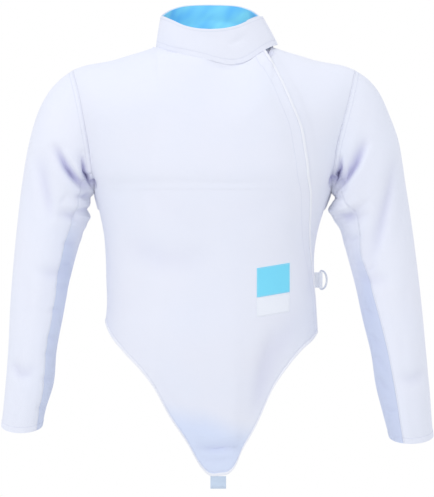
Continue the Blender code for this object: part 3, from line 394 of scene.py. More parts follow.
# More folds than the solids have: sharper lines and rolls in the armpits, scallops by the inner seams, soft waves
MORE_FOLDS = table(
    "x0 z0 x1 z1 x2 z2 depth width peak face",
    (-0.2584, -0.1409, -0.2367, -0.1814, -0.2000, -0.2185, 0.0062, 0.0060, 0.70, -1),
    (-0.240, -0.150, -0.220, -0.184, -0.202, -0.207, -0.0052, 0.0062, 0.55, -1),
    (-0.210, -0.160, -0.206, -0.189, -0.191, -0.214, 0.0080, 0.0026, 0.78, -1),
    (-0.220, -0.167, -0.2155, -0.193, -0.201, -0.211, -0.0026, 0.0050, 0.50, -1),
    (-0.195, -0.221, -0.207, -0.227, -0.224, -0.227, 0.0052, 0.0042, 0.35, -1),
    (-0.247, -0.242, -0.241, -0.232, -0.235, -0.222, 0.0018, 0.0030, 0.50, -1),
    (-0.202, -0.262, -0.217, -0.265, -0.252, -0.255, 0.0026, 0.0062, 0.30, -1),
    (-0.204, -0.242, -0.222, -0.243, -0.240, -0.240, -0.0024, 0.0070, 0.40, -1),
    (-0.218, -0.297, -0.230, -0.303, -0.245, -0.301, 0.0030, 0.0060, 0.35, -1),
    (-0.226, -0.332, -0.235, -0.335, -0.247, -0.332, 0.0026, 0.0055, 0.35, -1),
    (-0.234, -0.371, -0.243, -0.374, -0.256, -0.369, 0.0026, 0.0060, 0.35, -1),
    (-0.245, -0.407, -0.253, -0.410, -0.264, -0.406, 0.0024, 0.0055, 0.40, -1),
    (-0.251, -0.450, -0.259, -0.454, -0.269, -0.450, 0.0024, 0.0060, 0.40, -1),
    (-0.256, -0.478, -0.264, -0.480, -0.273, -0.476, 0.0020, 0.0050, 0.40, -1),
    (-0.256, -0.517, -0.266, -0.520, -0.277, -0.515, 0.0026, 0.0060, 0.40, -1),
    (-0.269, -0.562, -0.276, -0.566, -0.284, -0.562, 0.0020, 0.0055, 0.40, -1),
    (-0.326, -0.486, -0.314, -0.514, -0.288, -0.511, 0.0018, 0.0065, 0.55, -1),
    (-0.289, -0.163, -0.270, -0.222, -0.258, -0.270, 0.0014, 0.0060, 0.60, -1),
    (-0.306, -0.180, -0.296, -0.235, -0.294, -0.300, 0.0012, 0.0090, 0.45, -1),
    (-0.312, -0.330, -0.300, -0.385, -0.304, -0.450, 0.0012, 0.0110, 0.50, -1),
    (-0.262, -0.330, -0.268, -0.385, -0.276, -0.440, 0.0010, 0.0080, 0.50, -1),
    (0.2462, -0.1353, 0.2270, -0.1780, 0.1985, -0.2140, 0.0060, 0.0065, 0.75, -1),
    (0.254, -0.140, 0.238, -0.176, 0.208, -0.214, -0.0020, 0.0060, 0.55, -1),
    (0.2035, -0.160, 0.2015, -0.183, 0.190, -0.209, 0.0075, 0.0028, 0.78, -1),
    (0.209, -0.165, 0.209, -0.180, 0.199, -0.203, -0.0026, 0.0050, 0.50, -1),
    (0.194, -0.222, 0.204, -0.219, 0.214, -0.212, 0.0026, 0.0045, 0.30, -1),
    (0.194, -0.252, 0.212, -0.262, 0.250, -0.230, 0.0034, 0.0070, 0.35, -1),
    (0.196, -0.238, 0.214, -0.242, 0.236, -0.232, -0.0026, 0.0080, 0.40, -1),
    (0.207, -0.288, 0.220, -0.297, 0.238, -0.290, 0.0030, 0.0070, 0.35, -1),
    (0.222, -0.330, 0.232, -0.338, 0.244, -0.340, 0.0018, 0.0060, 0.40, -1),
    (0.239, -0.400, 0.248, -0.413, 0.256, -0.424, 0.0020, 0.0045, 0.45, -1),
    (0.251, -0.448, 0.261, -0.462, 0.268, -0.476, 0.0022, 0.0050, 0.45, -1),
    (0.259, -0.482, 0.269, -0.497, 0.276, -0.512, 0.0020, 0.0045, 0.45, -1),
    (0.262, -0.516, 0.272, -0.531, 0.281, -0.544, 0.0022, 0.0050, 0.45, -1),
    (0.272, -0.567, 0.283, -0.570, 0.296, -0.568, 0.0018, 0.0050, 0.40, -1),
    (0.293, -0.164, 0.284, -0.222, 0.256, -0.335, 0.0016, 0.0055, 0.55, -1),
    (0.259, -0.330, 0.253, -0.343, 0.242, -0.347, 0.0016, 0.0045, 0.50, -1),
    (0.309, -0.185, 0.304, -0.240, 0.296, -0.300, 0.0012, 0.0090, 0.45, -1),
    (0.318, -0.330, 0.306, -0.390, 0.310, -0.450, 0.0012, 0.0110, 0.50, -1),
    (0.300, -0.440, 0.298, -0.460, 0.304, -0.492, 0.0010, 0.0070, 0.50, -1),
    (-0.024, -0.647, 0.006, -0.649, 0.034, -0.644, 0.0024, 0.0050, 0.50, -1),
    (-0.034, -0.624, 0.000, -0.630, 0.044, -0.625, 0.0030, 0.0050, 0.50, -1),
    (-0.034, -0.603, -0.004, -0.611, 0.048, -0.606, -0.0016, 0.0080, 0.55, -1),
    (0.099, -0.426, 0.078, -0.491, 0.067, -0.585, 0.0018, 0.0110, 0.55, -1),
    (-0.100, -0.500, -0.070, -0.545, -0.040, -0.600, 0.0014, 0.0100, 0.45, -1),
    (-0.120, -0.200, -0.060, -0.260, 0.010, -0.290, 0.0012, 0.0220, 0.40, -1),
    (0.130, -0.210, 0.070, -0.250, 0.010, -0.262, 0.0012, 0.0220, 0.40, -1),
    (-0.018, -0.011, 0.014, -0.021, 0.042, -0.021, 0.0022, 0.0060, 0.55, -1),
    (0.157, -0.334, 0.158, -0.361, 0.157, -0.388, 0.0020, 0.0070, 0.50, -1),
    (-0.253, -0.156, -0.231, -0.188, -0.203, -0.216, 0.0028, 0.0048, 0.60, 1),
    (-0.246, -0.151, -0.222, -0.182, -0.202, -0.210, -0.0022, 0.0060, 0.55, 1),
    (-0.212, -0.170, -0.206, -0.195, -0.196, -0.212, 0.0034, 0.0038, 0.60, 1),
    (-0.196, -0.226, -0.210, -0.232, -0.228, -0.230, 0.0034, 0.0050, 0.35, 1),
    (-0.203, -0.258, -0.222, -0.268, -0.256, -0.262, 0.0028, 0.0070, 0.35, 1),
    (-0.216, -0.300, -0.236, -0.308, -0.262, -0.300, 0.0026, 0.0070, 0.40, 1),
    (-0.236, -0.352, -0.258, -0.356, -0.292, -0.346, -0.0020, 0.0080, 0.50, 1),
    (-0.240, -0.392, -0.264, -0.402, -0.304, -0.392, 0.0024, 0.0075, 0.45, 1),
    (-0.252, -0.450, -0.268, -0.455, -0.288, -0.448, 0.0018, 0.0065, 0.40, 1),
    (-0.258, -0.512, -0.276, -0.520, -0.302, -0.512, 0.0022, 0.0070, 0.45, 1),
    (-0.305, -0.300, -0.298, -0.360, -0.310, -0.430, 0.0012, 0.0110, 0.50, 1),
    (0.246, -0.142, 0.227, -0.180, 0.200, -0.213, 0.0030, 0.0050, 0.60, 1),
    (0.254, -0.146, 0.236, -0.182, 0.208, -0.216, -0.0020, 0.0060, 0.55, 1),
    (0.207, -0.170, 0.203, -0.190, 0.195, -0.208, 0.0034, 0.0038, 0.60, 1),
    (0.196, -0.228, 0.212, -0.234, 0.232, -0.230, 0.0034, 0.0050, 0.35, 1),
    (0.200, -0.262, 0.220, -0.272, 0.252, -0.262, 0.0028, 0.0070, 0.35, 1),
    (0.212, -0.306, 0.234, -0.314, 0.262, -0.304, 0.0026, 0.0070, 0.40, 1),
    (0.238, -0.354, 0.262, -0.360, 0.296, -0.350, -0.0020, 0.0080, 0.50, 1),
    (0.244, -0.398, 0.270, -0.410, 0.312, -0.400, 0.0024, 0.0075, 0.45, 1),
    (0.256, -0.458, 0.274, -0.464, 0.296, -0.456, 0.0018, 0.0065, 0.40, 1),
    (0.264, -0.520, 0.284, -0.530, 0.312, -0.520, 0.0022, 0.0070, 0.45, 1),
    (0.312, -0.310, 0.304, -0.370, 0.318, -0.440, 0.0012, 0.0110, 0.50, 1),
    (-0.180, -0.220, -0.140, -0.236, -0.080, -0.236, 0.0020, 0.0090, 0.35, 1),
    (0.176, -0.222, 0.130, -0.240, 0.070, -0.244, 0.0020, 0.0090, 0.35, 1),
    (-0.120, -0.100, -0.040, -0.130, 0.050, -0.122, 0.0014, 0.0160, 0.50, 1),
    (-0.150, -0.375, -0.060, -0.392, 0.060, -0.380, -0.0016, 0.0120, 0.45, 1),
    (0.150, -0.350, 0.080, -0.378, -0.010, -0.400, 0.0016, 0.0110, 0.45, 1),
    (0.100, -0.410, 0.040, -0.432, -0.060, -0.440, 0.0014, 0.0110, 0.50, 1),
)
COLLAR_FOLDS = table(
    "x0 z0 x1 z1 x2 z2 depth width peak face",
    (0.023, 0.013, 0.036, 0.021, 0.053, 0.029, 0.0018, 0.0055, 0.50, -1),
    (0.030, 0.034, 0.046, 0.040, 0.062, 0.048, -0.0008, 0.0060, 0.50, -1),
    (-0.080, 0.012, -0.050, 0.005, -0.020, -0.001, 0.0010, 0.0060, 0.50, -1),
    (-0.060, 0.020, -0.020, 0.028, 0.030, 0.020, 0.0008, 0.0100, 0.50, -1),
    (-0.060, 0.040, -0.010, 0.052, 0.050, 0.046, 0.0010, 0.0080, 0.50, 1),
    (0.060, 0.050, 0.020, 0.062, -0.030, 0.066, -0.0008, 0.0070, 0.50, 1),
)
# Rolls and dips that go round the sleeves' inner sides under the armpits
WRAPPED_FOLDS = table(
    "x0 z0 x1 z1 x2 z2 depth width peak face",
    (-0.186, -0.2455, -0.203, -0.2465, -0.222, -0.247, 0.0034, 0.0038, 0.50, 0),
    (-0.184, -0.2275, -0.196, -0.2285, -0.210, -0.2290, 0.0026, 0.0045, 0.50, 0),
    (-0.186, -0.2575, -0.201, -0.2590, -0.224, -0.261, -0.0048, 0.0066, 0.50, 0),
    (-0.188, -0.2820, -0.205, -0.2840, -0.222, -0.285, 0.0020, 0.0070, 0.50, 0),
    (0.180, -0.2270, 0.194, -0.2280, 0.210, -0.2290, 0.0034, 0.0045, 0.50, 0),
    (0.183, -0.2460, 0.196, -0.2480, 0.216, -0.2475, -0.0058, 0.0068, 0.35, 0),
)
# The hollow between the flap's corner and the shoulder, in the left front alone; its depth gives it painted shade too
NECK_HOLLOW = table(
    "x0 z0 x1 z1 x2 z2 depth width peak face",
    (0.082, 0.014, 0.089, 0.006, 0.095, -0.001, 0.0120, 0.0062, 0.45, -1),
)

# Colours, painted shade and weaves
CLOTH_COLOURS = ((0.84, 0.87, 0.965), (0.88, 0.885, 0.955))
BINDING_COLOURS = ((0.90, 0.91, 0.97), (0.92, 0.925, 0.965))
# Painted shade, a cooler tone, on the sleeves' under sides and the front's point, with the distances from the top
# where it starts
PAINTED_SHADE_TONES = {
    "sleeve_right_under": ((0.67, 0.73, 0.90), 0.070, 0.160),
    "sleeve_left_under": ((0.65, 0.71, 0.89), 0.090, 0.250),
    "front_right": ((0.73, 0.80, 0.975), 0.610, 0.660),
}
# Painted shade in the grooves of the seams and the lines of stitches
PAINTED_GROOVE_SHADE_COLOUR = (0.66, 0.68, 0.84)
# Painted shade deep in the folds, growing with their depth, and near-black painted shade in the deepest
PAINTED_CREASE_SHADE = (0.40, 0.39, 0.68)
CREASE_DEEPEST = 0.0140
CREASE_CURVE = 1.6
CREASE_SHARE = 0.85
PAINTED_PIT_SHADE = (0.14, 0.13, 0.28)
PIT_CURVE = 12.0
PIT_SHARE = 0.80
CLOTH_ROUGHNESS = 0.85
CLOTH_SHEEN = 0.15
TWILL_PITCH = 0.0009
TWILL_HEIGHT = 0.00003
CRUMPLE_SCALE = 40.0
CRUMPLE_HEIGHT = 0.0005
PUCKER_SCALE = 130.0
PUCKER_REACH = 0.007
PUCKER_HEIGHT = 0.0006
GROOVE_HALF_WIDTH = 0.0011
GROOVE_DEPTH = 0.0002
GROOVE_SHADE = 0.22
TONE_SCALE = 9.0
WEAVE_RELIEF = 0.08
WEAVE_TONE = 0.25
LINING_COLOUR = (0.11, 0.54, 1.00)
LINING_SHADE = (0.24, 0.78, 1.00)
LINING_STREAK_SCALE = 42.0
LINING_STREAK_STRETCH = (1.0, 1.0, 3.2)
LINING_STREAK_SLANT = 0.75
LINING_STREAK_CONTRAST = 2.6
LINING_STREAK_HEIGHT = 0.0010
LABEL_BLUE = (0.25, 0.83, 1.00)
LABEL_BLUE_SHADE = (0.20, 0.73, 1.00)
LABEL_WHITE = (0.94, 0.96, 1.00)
LABEL_WHITE_SHADE = (0.89, 0.92, 0.99)
LABEL_PITCH = 0.0008
WEBBING_COLOUR = (0.69, 0.79, 0.91)
WEBBING_SHADE = (0.58, 0.69, 0.84)
TAB_COLOUR = (0.96, 0.97, 1.00)
TAB_SHADE = (0.88, 0.91, 0.98)
WEBBING_PITCH = 0.0016
THREAD_COLOUR = (0.80, 0.82, 0.90)
STEEL_COLOUR = (0.82, 0.84, 0.88)
STEEL_ROUGHNESS = 0.22
STEEL_SCUFF_SCALE = 400.0
STEEL_SCUFF_SHARE = 0.15
STEEL_SCUFF_HEIGHT = 0.00004
LOOP_BEVEL = 0.0002
LOOP_BEVEL_ANGLE = 40.0

# Stage
SURROUND_COLOUR = (0.935, 0.955, 1.0)
SURROUND_STRENGTH = 0.90
BACKDROP_COLOUR = (1.0, 1.0, 1.0)
FLOOR_SIZE = 12.0
FLOOR_Z = -1.40
FLOOR_COLOUR = (0.9, 0.9, 0.9)
MIDDLE = (0.0, 0.0, -0.3)
LIGHT_COLOUR = (1.0, 1.0, 1.0)
LIGHTS = (
    ("key", (-1.6, -2.2, 1.1), 1.2, 12.5),
    ("fill", (2.1, -1.9, 0.2), 2.0, 1.5),
    ("top", (0.0, -0.9, 2.2), 1.2, 4.5),
)
NECK_LIGHT = ("neck", (0.0, -1.5, 0.9), 0.3, 8.0)
CAMERA_DISTANCE = 5.0
CAMERA_X = 0.005
CAMERA_Z = -0.310
VIEW_HEIGHT = 0.805


def read(data, column, at):
    """A column's value where the first column is `at`, on a smooth curve through the rows."""
    keys = next(iter(data.values()))
    values = data[column]
    slopes = np.gradient(values, keys)
    at = np.clip(at, keys[0], keys[-1])
    low = np.clip(np.searchsorted(keys, at) - 1, 0, len(keys) - 2)
    step = keys[low + 1] - keys[low]
    f = (at - keys[low]) / step
    start = (1 + 2 * f) * (1 - f) ** 2 * values[low] + f * (1 - f) ** 2 * step * slopes[low]
    end = f**2 * (3 - 2 * f) * values[low + 1] + f**2 * (f - 1) * step * slopes[low + 1]
    return start + end


def ease(value):
    """0 to 1 with level ends."""
    value = np.clip(value, 0.0, 1.0)
    return value * value * (3 - 2 * value)


def mix(start, end, share):
    return start + (end - start) * share


def unit(vectors):
    return vectors / np.maximum(np.linalg.norm(vectors, axis=-1, keepdims=True), 1e-12)


# Body panels


def share_at(turn):
    """How far across the body's half width the round stands at this turn from the middle, in degrees."""
    sine = np.sin(np.radians(turn))
    return np.sign(sine) * np.abs(sine) ** (2 / ROUND)


def turn_at(share):
    return np.degrees(np.sign(share) * np.arcsin(np.clip(np.abs(share), 0, 1) ** (ROUND / 2)))


def neck_height(face, x):
    if face == "front":
        return read(NECKLINE, "z", x)
    rise = np.sqrt(np.maximum(0.0, 1 - (x / NECK_X) ** 2))
    return NECK_POINT_Z + (BACK_NECK_Z - NECK_POINT_Z) * rise


def crown(face, share):
    """The panel's top line at a share of the shoulder width: y and z, the drop to the full round, and its bend."""
    x = share * SHOULDER_X
    inside = np.abs(x) < NECK_X
    bow = np.sqrt(np.maximum(0.0, 1 - (x / NECK_X) ** 2))
    neck_y = NECK_Y + bow * (-NECK_FRONT if face == "front" else NECK_BACK)
    along = np.clip((np.abs(x) - NECK_X) / (SHOULDER_X - NECK_X), 0, 1)
    y = np.where(inside, neck_y, mix(NECK_Y, SHOULDER_Y, along))
    z = np.where(inside, neck_height(face, x), read(SHOULDER, "z", np.abs(x)))
    out = ease(np.abs(x) / NECK_X)
    return y, z, mix(NECK_DROP, SHOULDER_DROP, out), mix(NECK_BEND, SHOULDER_BEND, out)


def hem_height(face, share):
    left = FRONT_HEM["x"][0]
    right = FRONT_HEM["x"][-1]
    x = mix(left, right, (share + 1) / 2)
    if face == "front":
        return read(FRONT_HEM, "z", x)
    return mix(FRONT_HEM["z"][0], FRONT_HEM["z"][-1], (share + 1) / 2) - BACK_HEM_SAG * (1 - share**2)


def row_height(face, share, row):
    """Height of a panel's row: the upper rows run from the top line to the armpit, the others on to the hem."""
    top = crown(face, share)[1]
    if row <= ARM_ROWS:
        return mix(top, PIT_Z, (1 - np.cos(np.pi * row / ARM_ROWS)) / 2)
    return mix(PIT_Z, hem_height(face, share), (row - ARM_ROWS) / LOW_ROWS)


def body_point(face, share, z):
    left = read(BODY, "left", z)
    right = read(BODY, "right", z)
    x = (left + right) / 2 + (right - left) / 2 * share
    reached = np.clip(np.abs(share) * read(BODY, "reach", z), 0, 1)
    rounding = (1 - reached**ROUND) ** (1 / ROUND)
    side = -1 if face == "front" else 1
    full = SIDE_Y + side * read(BODY, face, z) * rounding
    top_y, top_z, drop, bend = crown(face, share)
    fallen = np.clip((top_z - z) / drop, 0, 1)
    y = mix(top_y, full, (1 - (1 - fallen) ** 2) ** (1 / bend))
    return np.stack([x, y, z + 0 * x], axis=-1)


def shoulder_shares():
    """Shares from the neck point out to the shoulder point, closer together where the body turns."""
    neck = NECK_X / SHOULDER_X
    return mix(neck, 1.0, np.sin(np.linspace(0, np.pi / 2, SHOULDER_CELLS + 1)))


def neck_shares(turns):
    return NECK_X / SHOULDER_X * np.sin(np.radians(turns))


def flap_shares(row):
    """Shares of the flap's edge and of the edge under it on one row."""
    if row == 0:
        return neck_shares(FLAP_TURN), neck_shares(UNDER_TURN)
    edge = under = FLAP_FIRST_SHARE
    for _ in range(FLAP_PASSES):
        edge = read(FLAP, "edge", row_height("front", edge, row))
        under = read(FLAP, "under", row_height("front", under, row))
    return float(edge), float(under)


def front_right_row(row):
    edge, under = flap_shares(row)
    neck = neck_shares(np.arange(NECK_TURN_STEP - 90, UNDER_TURN + 1, NECK_TURN_STEP))
    top = np.concatenate([-shoulder_shares()[::-1], neck])
    top = mix(-1, under, (top + 1) / (top[-1] + 1))
    turns = np.concatenate([
        np.linspace(-90, POINT_LEFT_TURN, BESIDE_POINT_CELLS + 1)[:-1],
        np.linspace(POINT_LEFT_TURN, POINT_RIGHT_TURN, POINT_CELLS + 1)[:-1],
        np.linspace(POINT_RIGHT_TURN, turn_at(under), len(top) - BESIDE_POINT_CELLS - POINT_CELLS),
    ])
    shares = mix(top, share_at(turns), ease(row / ARM_ROWS))
    return np.concatenate([shares, [(under + edge) / 2, edge]])


def front_left_row(row):
    edge, under = flap_shares(row)
    neck = neck_shares(np.arange(FLAP_TURN, 90, NECK_TURN_STEP))
    top = np.concatenate([neck, shoulder_shares()])
    top = mix(edge, 1, (top - top[0]) / (1 - top[0]))
    turns = np.linspace(turn_at(edge), 90, len(top))
    shares = mix(top, share_at(turns), ease(row / ARM_ROWS))
    return np.concatenate([[under, (under + edge) / 2], shares])


def back_row(row):
    neck = neck_shares(np.arange(-BACK_NECK_TURN, BACK_NECK_TURN + 1, BACK_NECK_STEP))
    top = np.concatenate([-shoulder_shares()[::-1], neck, shoulder_shares()])
    turns = np.linspace(-90, 90, len(top))
    return mix(top, share_at(turns), ease(row / ARM_ROWS))


# Sleeves


def armhole(side):
    """The seam ring at the armhole: down the front from the shoulder point, and up the back."""
    front = [body_point("front", side, row_height("front", side, row)) for row in range(ARM_ROWS + 1)]
    back = [body_point("back", side, row_height("back", side, row)) for row in range(ARM_ROWS + 1)]
    return np.array(front + back[-2::-1])


def sleeve_ring(data, station, turns):
    """One section: turn 0 is the outer side, 90 the front and 180 the inner side."""
    seam = read(data, "seam", station)
    turns = np.interp(turns, [0, SLEEVE_SEAM_TURN, 180, 360], [0, seam, 180, 360])
    across = np.cos(np.radians(turns))
    forward = np.sin(np.radians(turns))
    outer_x, outer_z, inner_x, inner_z, depth, y = (
        read(data, column, station) for column in ("outer_x", "outer_z", "inner_x", "inner_z", "depth", "y")
    )
    drop = CUFF_DROP * ease((station - CUFF_DROP_FROM) / (data["station"][-1] - CUFF_DROP_FROM))
    x = (outer_x + inner_x) / 2 + (outer_x - inner_x) / 2 * across
    z = (outer_z + inner_z) / 2 + (outer_z - inner_z) / 2 * across - drop * forward
    return np.stack([x, y - depth * forward, z], axis=-1)


# Folds and walls


def fold_depths(points, facing, folds):
    """How far the folds push each point in; facing is the y part of the outward direction."""
    depths = np.zeros(points.shape[:-1])
    at = points[..., [0, 2]]
    for i in range(len(folds["depth"])):
        path = [np.array([folds[f"x{n}"][i], folds[f"z{n}"][i]]) for n in range(3)]
        lengths = [np.linalg.norm(path[n + 1] - path[n]) for n in range(2)]
        nearest = np.full(depths.shape, np.inf)
        along = np.zeros(depths.shape)
        for n in range(2):
            way = (path[n + 1] - path[n]) / lengths[n]
            run = np.clip((at - path[n]) @ way, 0, lengths[n])
            gap = np.linalg.norm(at - path[n] - run[..., None] * way, axis=-1)
            share = (run + n * lengths[0]) / sum(lengths)
            along = np.where(gap < nearest, share, along)
            nearest = np.minimum(gap, nearest)
        peak = folds["peak"][i]
        bump = np.sin(np.pi * np.interp(along, [0, peak, 1], [0, 0.5, 1])) ** FOLD_FULLNESS
        face = folds["face"][i]
        turned = ease((face * facing - FACING_FROM) / (FACING_TO - FACING_FROM)) if face else 1.0
        depths += folds["depth"][i] * np.exp(-((nearest / folds["width"][i]) ** 2)) * bump * turned
    return depths


def directions(grid, outward):
    """Unit vectors that point out of a grid; outward is 1 or -1, by which way its rows and columns run."""
    across = np.gradient(grid, axis=1)
    down = np.gradient(grid, axis=0)
    return unit(np.cross(across, down)) * outward


def keys_of(grid):
    return [tuple(key) for key in np.round(grid.reshape(-1, 3) / SAME_POINT).astype(int)]


def seam_directions(grids, outwards, keys):
    """Each point's direction out of the cloth, shared where pieces meet, and how squarely it leaves there.

    The body's panels count as one surface and a sleeve's as another.
    """
    sums = {"body": {}, "sleeve": {}}
    for name, grid in grids.items():
        surface = sums["sleeve" if name.startswith("sleeve") else "body"]
        for key, vector in zip(keys[name], directions(grid, outwards[name]).reshape(-1, 3)):
            surface[key] = surface.get(key, 0) + vector
    shared = {}
    squareness = {}
    for name, grid in grids.items():
        found = []
        for key in keys[name]:
            surfaces = [unit(surface[key]) for surface in sums.values() if key in surface]
            way = unit(sum(surfaces))
            found.append([*way, way @ surfaces[0]])
        found = np.array(found).reshape(*grid.shape[:2], 4)
        shared[name] = found[..., :3]
        squareness[name] = found[..., 3:]
    return shared, squareness


def folded(grids, outwards):
    """The panels with their folds, the directions out of the cloth there, and how deep the folds are."""
    keys = {name: keys_of(grid) for name, grid in grids.items()}
    shared, _ = seam_directions(grids, outwards, keys)
    moved = {}
    creases = {}
    for name, grid in grids.items():
        tables = [FOLDS, MORE_FOLDS]
        if name == "front_left":
            tables.append(NECK_HOLLOW)
        if name.startswith("sleeve"):
            tables.append(WRAPPED_FOLDS)
        depths = sum(fold_depths(grid, shared[name][..., 1], folds) for folds in tables)
        moved[name] = grid - shared[name] * depths[..., None]
        # The folds' depths, which the cloth's material turns into painted shade
        creases[name] = np.maximum(depths, 0.0)
    return moved, seam_directions(moved, outwards, keys)[0], creases


def edge_shifts(line, thickness, into):
    """How an edge's points move to draw it into the panel, square to the seam, also at a corner of the edge."""
    square = unit(np.cross(np.diff(line, axis=0), thickness[1:] + thickness[:-1]))
    square *= np.sign(np.sum(square * (into[1:] + into[:-1]), axis=-1, keepdims=True))
    before = np.concatenate([square[:1], square])
    after = np.concatenate([square, square[-1:]])
    spread = 1 + np.sum(before * after, axis=-1, keepdims=True)
    return (before + after) / np.maximum(spread, MITRE_LIMIT) * EDGE_DRAW


def drawn_in(outer, inner):
    """Both faces with their four edges drawn away from the neighbours."""
    moved_outer = outer.copy()
    moved_inner = inner.copy()
    for axis, edge, beside in ((0, 0, 1), (0, -1, -2), (1, 0, 1), (1, -1, -2)):
        line = np.take(outer, edge, axis=axis)
        thickness = line - np.take(inner, edge, axis=axis)
        shift = edge_shifts(line, thickness, np.take(outer, beside, axis=axis) - line)
        at = (edge,) if axis == 0 else (slice(None), edge)
        moved_outer[at] += shift
        moved_inner[at] += shift
    return moved_outer, moved_inner


def under_lap(grid, way):
    """How far the left front lies inside the flap: full to the flap's edge, then none by the seams."""
    steps = np.linalg.norm(np.diff(grid, axis=1), axis=-1)
    steps[:, : LAP_COLUMNS - 1] = 0.0
    run = np.concatenate([np.zeros((grid.shape[0], 1)), np.cumsum(steps, axis=1)], axis=1)
    inset = (CLOTH + LAP_GAP) * (1 - ease(run / np.minimum(run[:, -1:], LAP_FADE)))
    return grid - way * inset[..., None]


# Collar


def collar_ring(turns, share):
    """Points round the collar at a share of its height above the neckline."""
    turn = np.radians(turns)
    base_x = NECK_X * np.sin(turn)
    base_y = NECK_Y - np.cos(turn) * np.where(np.cos(turn) > 0, NECK_FRONT, NECK_BACK)
    front = neck_height("front", base_x)
    back = neck_height("back", base_x)
    base_z = np.where(np.cos(turn) > 1e-9, front, back)
    rim_x = RIM_MIDDLE_X + RIM_X * np.sin(turn)
    rim_y = NECK_Y - np.cos(turn) * np.where(np.cos(turn) > 0, RIM_FRONT, RIM_BACK)
    around = np.degrees(np.arccos(np.clip(np.cos(turn), -1, 1)))
    rim_z = read(RIM, "z", around)
    out = np.stack([np.sin(turn), -np.cos(turn), 0 * turn], axis=-1)
    lapped = ease((turns - LAP_FLARE_FROM) / (COLLAR_END - LAP_FLARE_FROM))
    inset = UNDER_INSET * (1 - ease((turns - COLLAR_START) / (UNDER_INSET_TO - COLLAR_START)))
    offset = lapped * mix(LAP_FLARE_BASE, LAP_FLARE_RIM, share) - inset + COLLAR_BOW * np.sin(np.pi * share)
    points = np.stack([mix(base_x, rim_x, share), mix(base_y, rim_y, share), mix(base_z, rim_z, share)], axis=-1)
    points[..., 2] += lapped * LAP_LIFT * (1 - share)
    return points + out * offset[..., None]


# Webbing and D-ring


def loop_outline(reach, hole, root):
    """A webbing loop's side view, as outer and inner rings of (out, across) points: two layers joined at the root."""
    turns = np.radians(np.linspace(-LOOP_ARC_TURN, LOOP_ARC_TURN, LOOP_ARC_CELLS + 1))
    middle = reach - hole - WEBBING
    arc = np.stack([np.cos(turns), np.sin(turns)], axis=1)
    outer_arc = arc * (hole + WEBBING) + [middle, 0]
    inner_arc = arc * hole + [middle, 0]
    outer = np.concatenate([[(0, WEBBING), (0, -WEBBING), (root, -WEBBING)], outer_arc, [(root, WEBBING)]])
    slit = WEBBING_SLIT / 2
    inner = np.concatenate([
        [(root, slit), (root, -slit), (root + slit, -slit)],
        inner_arc,
        [(root + slit, slit)],
    ])
    return outer, inner


def loop_mesh(name, reach, hole, root, width, place):
    """The loop's outline carried across the webbing's width; place turns (out, across, along) into a point."""
    outer, inner = loop_outline(reach, hole, root)
    count = len(outer)
    points = []
    for along in (-width / 2, width / 2):
        points += [place(out, across, along) for out, across in outer]
        points += [place(out, across, along) for out, across in inner]
    faces = []
    for i in range(count):
        j = (i + 1) % count
        near_outer, near_inner = (i, j), (i + count, j + count)
        far_outer, far_inner = (i + 2 * count, j + 2 * count), (i + 3 * count, j + 3 * count)
        faces.append((near_inner[0], near_inner[1], near_outer[1], near_outer[0]))
        faces.append((far_inner[1], far_inner[0], far_outer[0], far_outer[1]))
        faces.append((far_outer[1], far_outer[0], near_outer[0], near_outer[1]))
        faces.append((far_inner[0], far_inner[1], near_inner[1], near_inner[0]))
    mesh = bpy.data.meshes.new(name)
    mesh.from_pydata([tuple(point) for point in points], [], faces)
    mesh.update()
    return mesh


def tab_side(z):
    return read(BODY, "right", z) + SEAM_GAP


def ring_path():
    """The D's middle line as (out, up) from the middle of its straight bar."""
    straight = RING_HALF_HEIGHT - RING_CORNER
    points = [(0.0, -straight), (0.0, straight)]
    for turn in np.radians(np.linspace(180, 90, RING_CORNER_CELLS + 1)[1:]):
        points.append((RING_CORNER + RING_CORNER * np.cos(turn), straight + RING_CORNER * np.sin(turn)))
    for turn in np.radians(np.linspace(90, -90, RING_BOW_CELLS + 1)[1:]):
        points.append((RING_CORNER + RING_BOW * np.cos(turn), RING_HALF_HEIGHT * np.sin(turn)))
    for turn in np.radians(np.linspace(-90, -180, RING_CORNER_CELLS + 1)[1:-1]):
        points.append((RING_CORNER + RING_CORNER * np.cos(turn), -straight + RING_CORNER * np.sin(turn)))
    return points


# Fine cells


def fine_steps(count, *dense, fine=FINE):
    """Positions from 0 to count, so many to a cell, with more of them beside the dense places."""
    steps = list(np.linspace(0, count, count * fine + 1))
    for place in dense:
        steps += [place + side * gap for gap in NEAR_EDGE for side in (-1, 1)]
    return np.unique(np.round([step for step in steps if 0 <= step <= count], 6))


def fine_panel(face, shares_of_row, rows, columns):
    grid = []
    for row in rows:
        coarse = shares_of_row(row)
        shares = np.interp(columns, np.arange(len(coarse)), coarse)
        grid.append(body_point(face, shares, row_height(face, shares, row)))
    return np.array(grid)


def fine_armhole(side, rows):
    upper = rows[rows <= ARM_ROWS]
    front = [body_point("front", side, row_height("front", side, row)) for row in upper]
    back = [body_point("back", side, row_height("back", side, row)) for row in upper]
    return np.array(front + back[-2::-1])


def fine_sleeve(data, side, rows):
    """Rows from the armhole to the cuff, each a ring whose last point is its first, and the ring's cell positions."""
    upper = rows[rows <= ARM_ROWS]
    cells = np.concatenate([upper, 2 * ARM_ROWS - upper[-2::-1]])
    turns = cells * 180 / ARM_ROWS
    seam = fine_armhole(side, rows)
    shift = seam - sleeve_ring(data, 0, turns)
    rings = []
    for step in fine_steps(SLEEVE_ROWS, 0, SLEEVE_ROWS, fine=SLEEVE_FINE):
        station = step * data["station"][-1] / SLEEVE_ROWS
        fade = max(0.0, 1 - station / ARMHOLE_BLEND) ** 2
        rings.append(sleeve_ring(data, station, turns) + shift * fade)
    return np.array(rings), cells


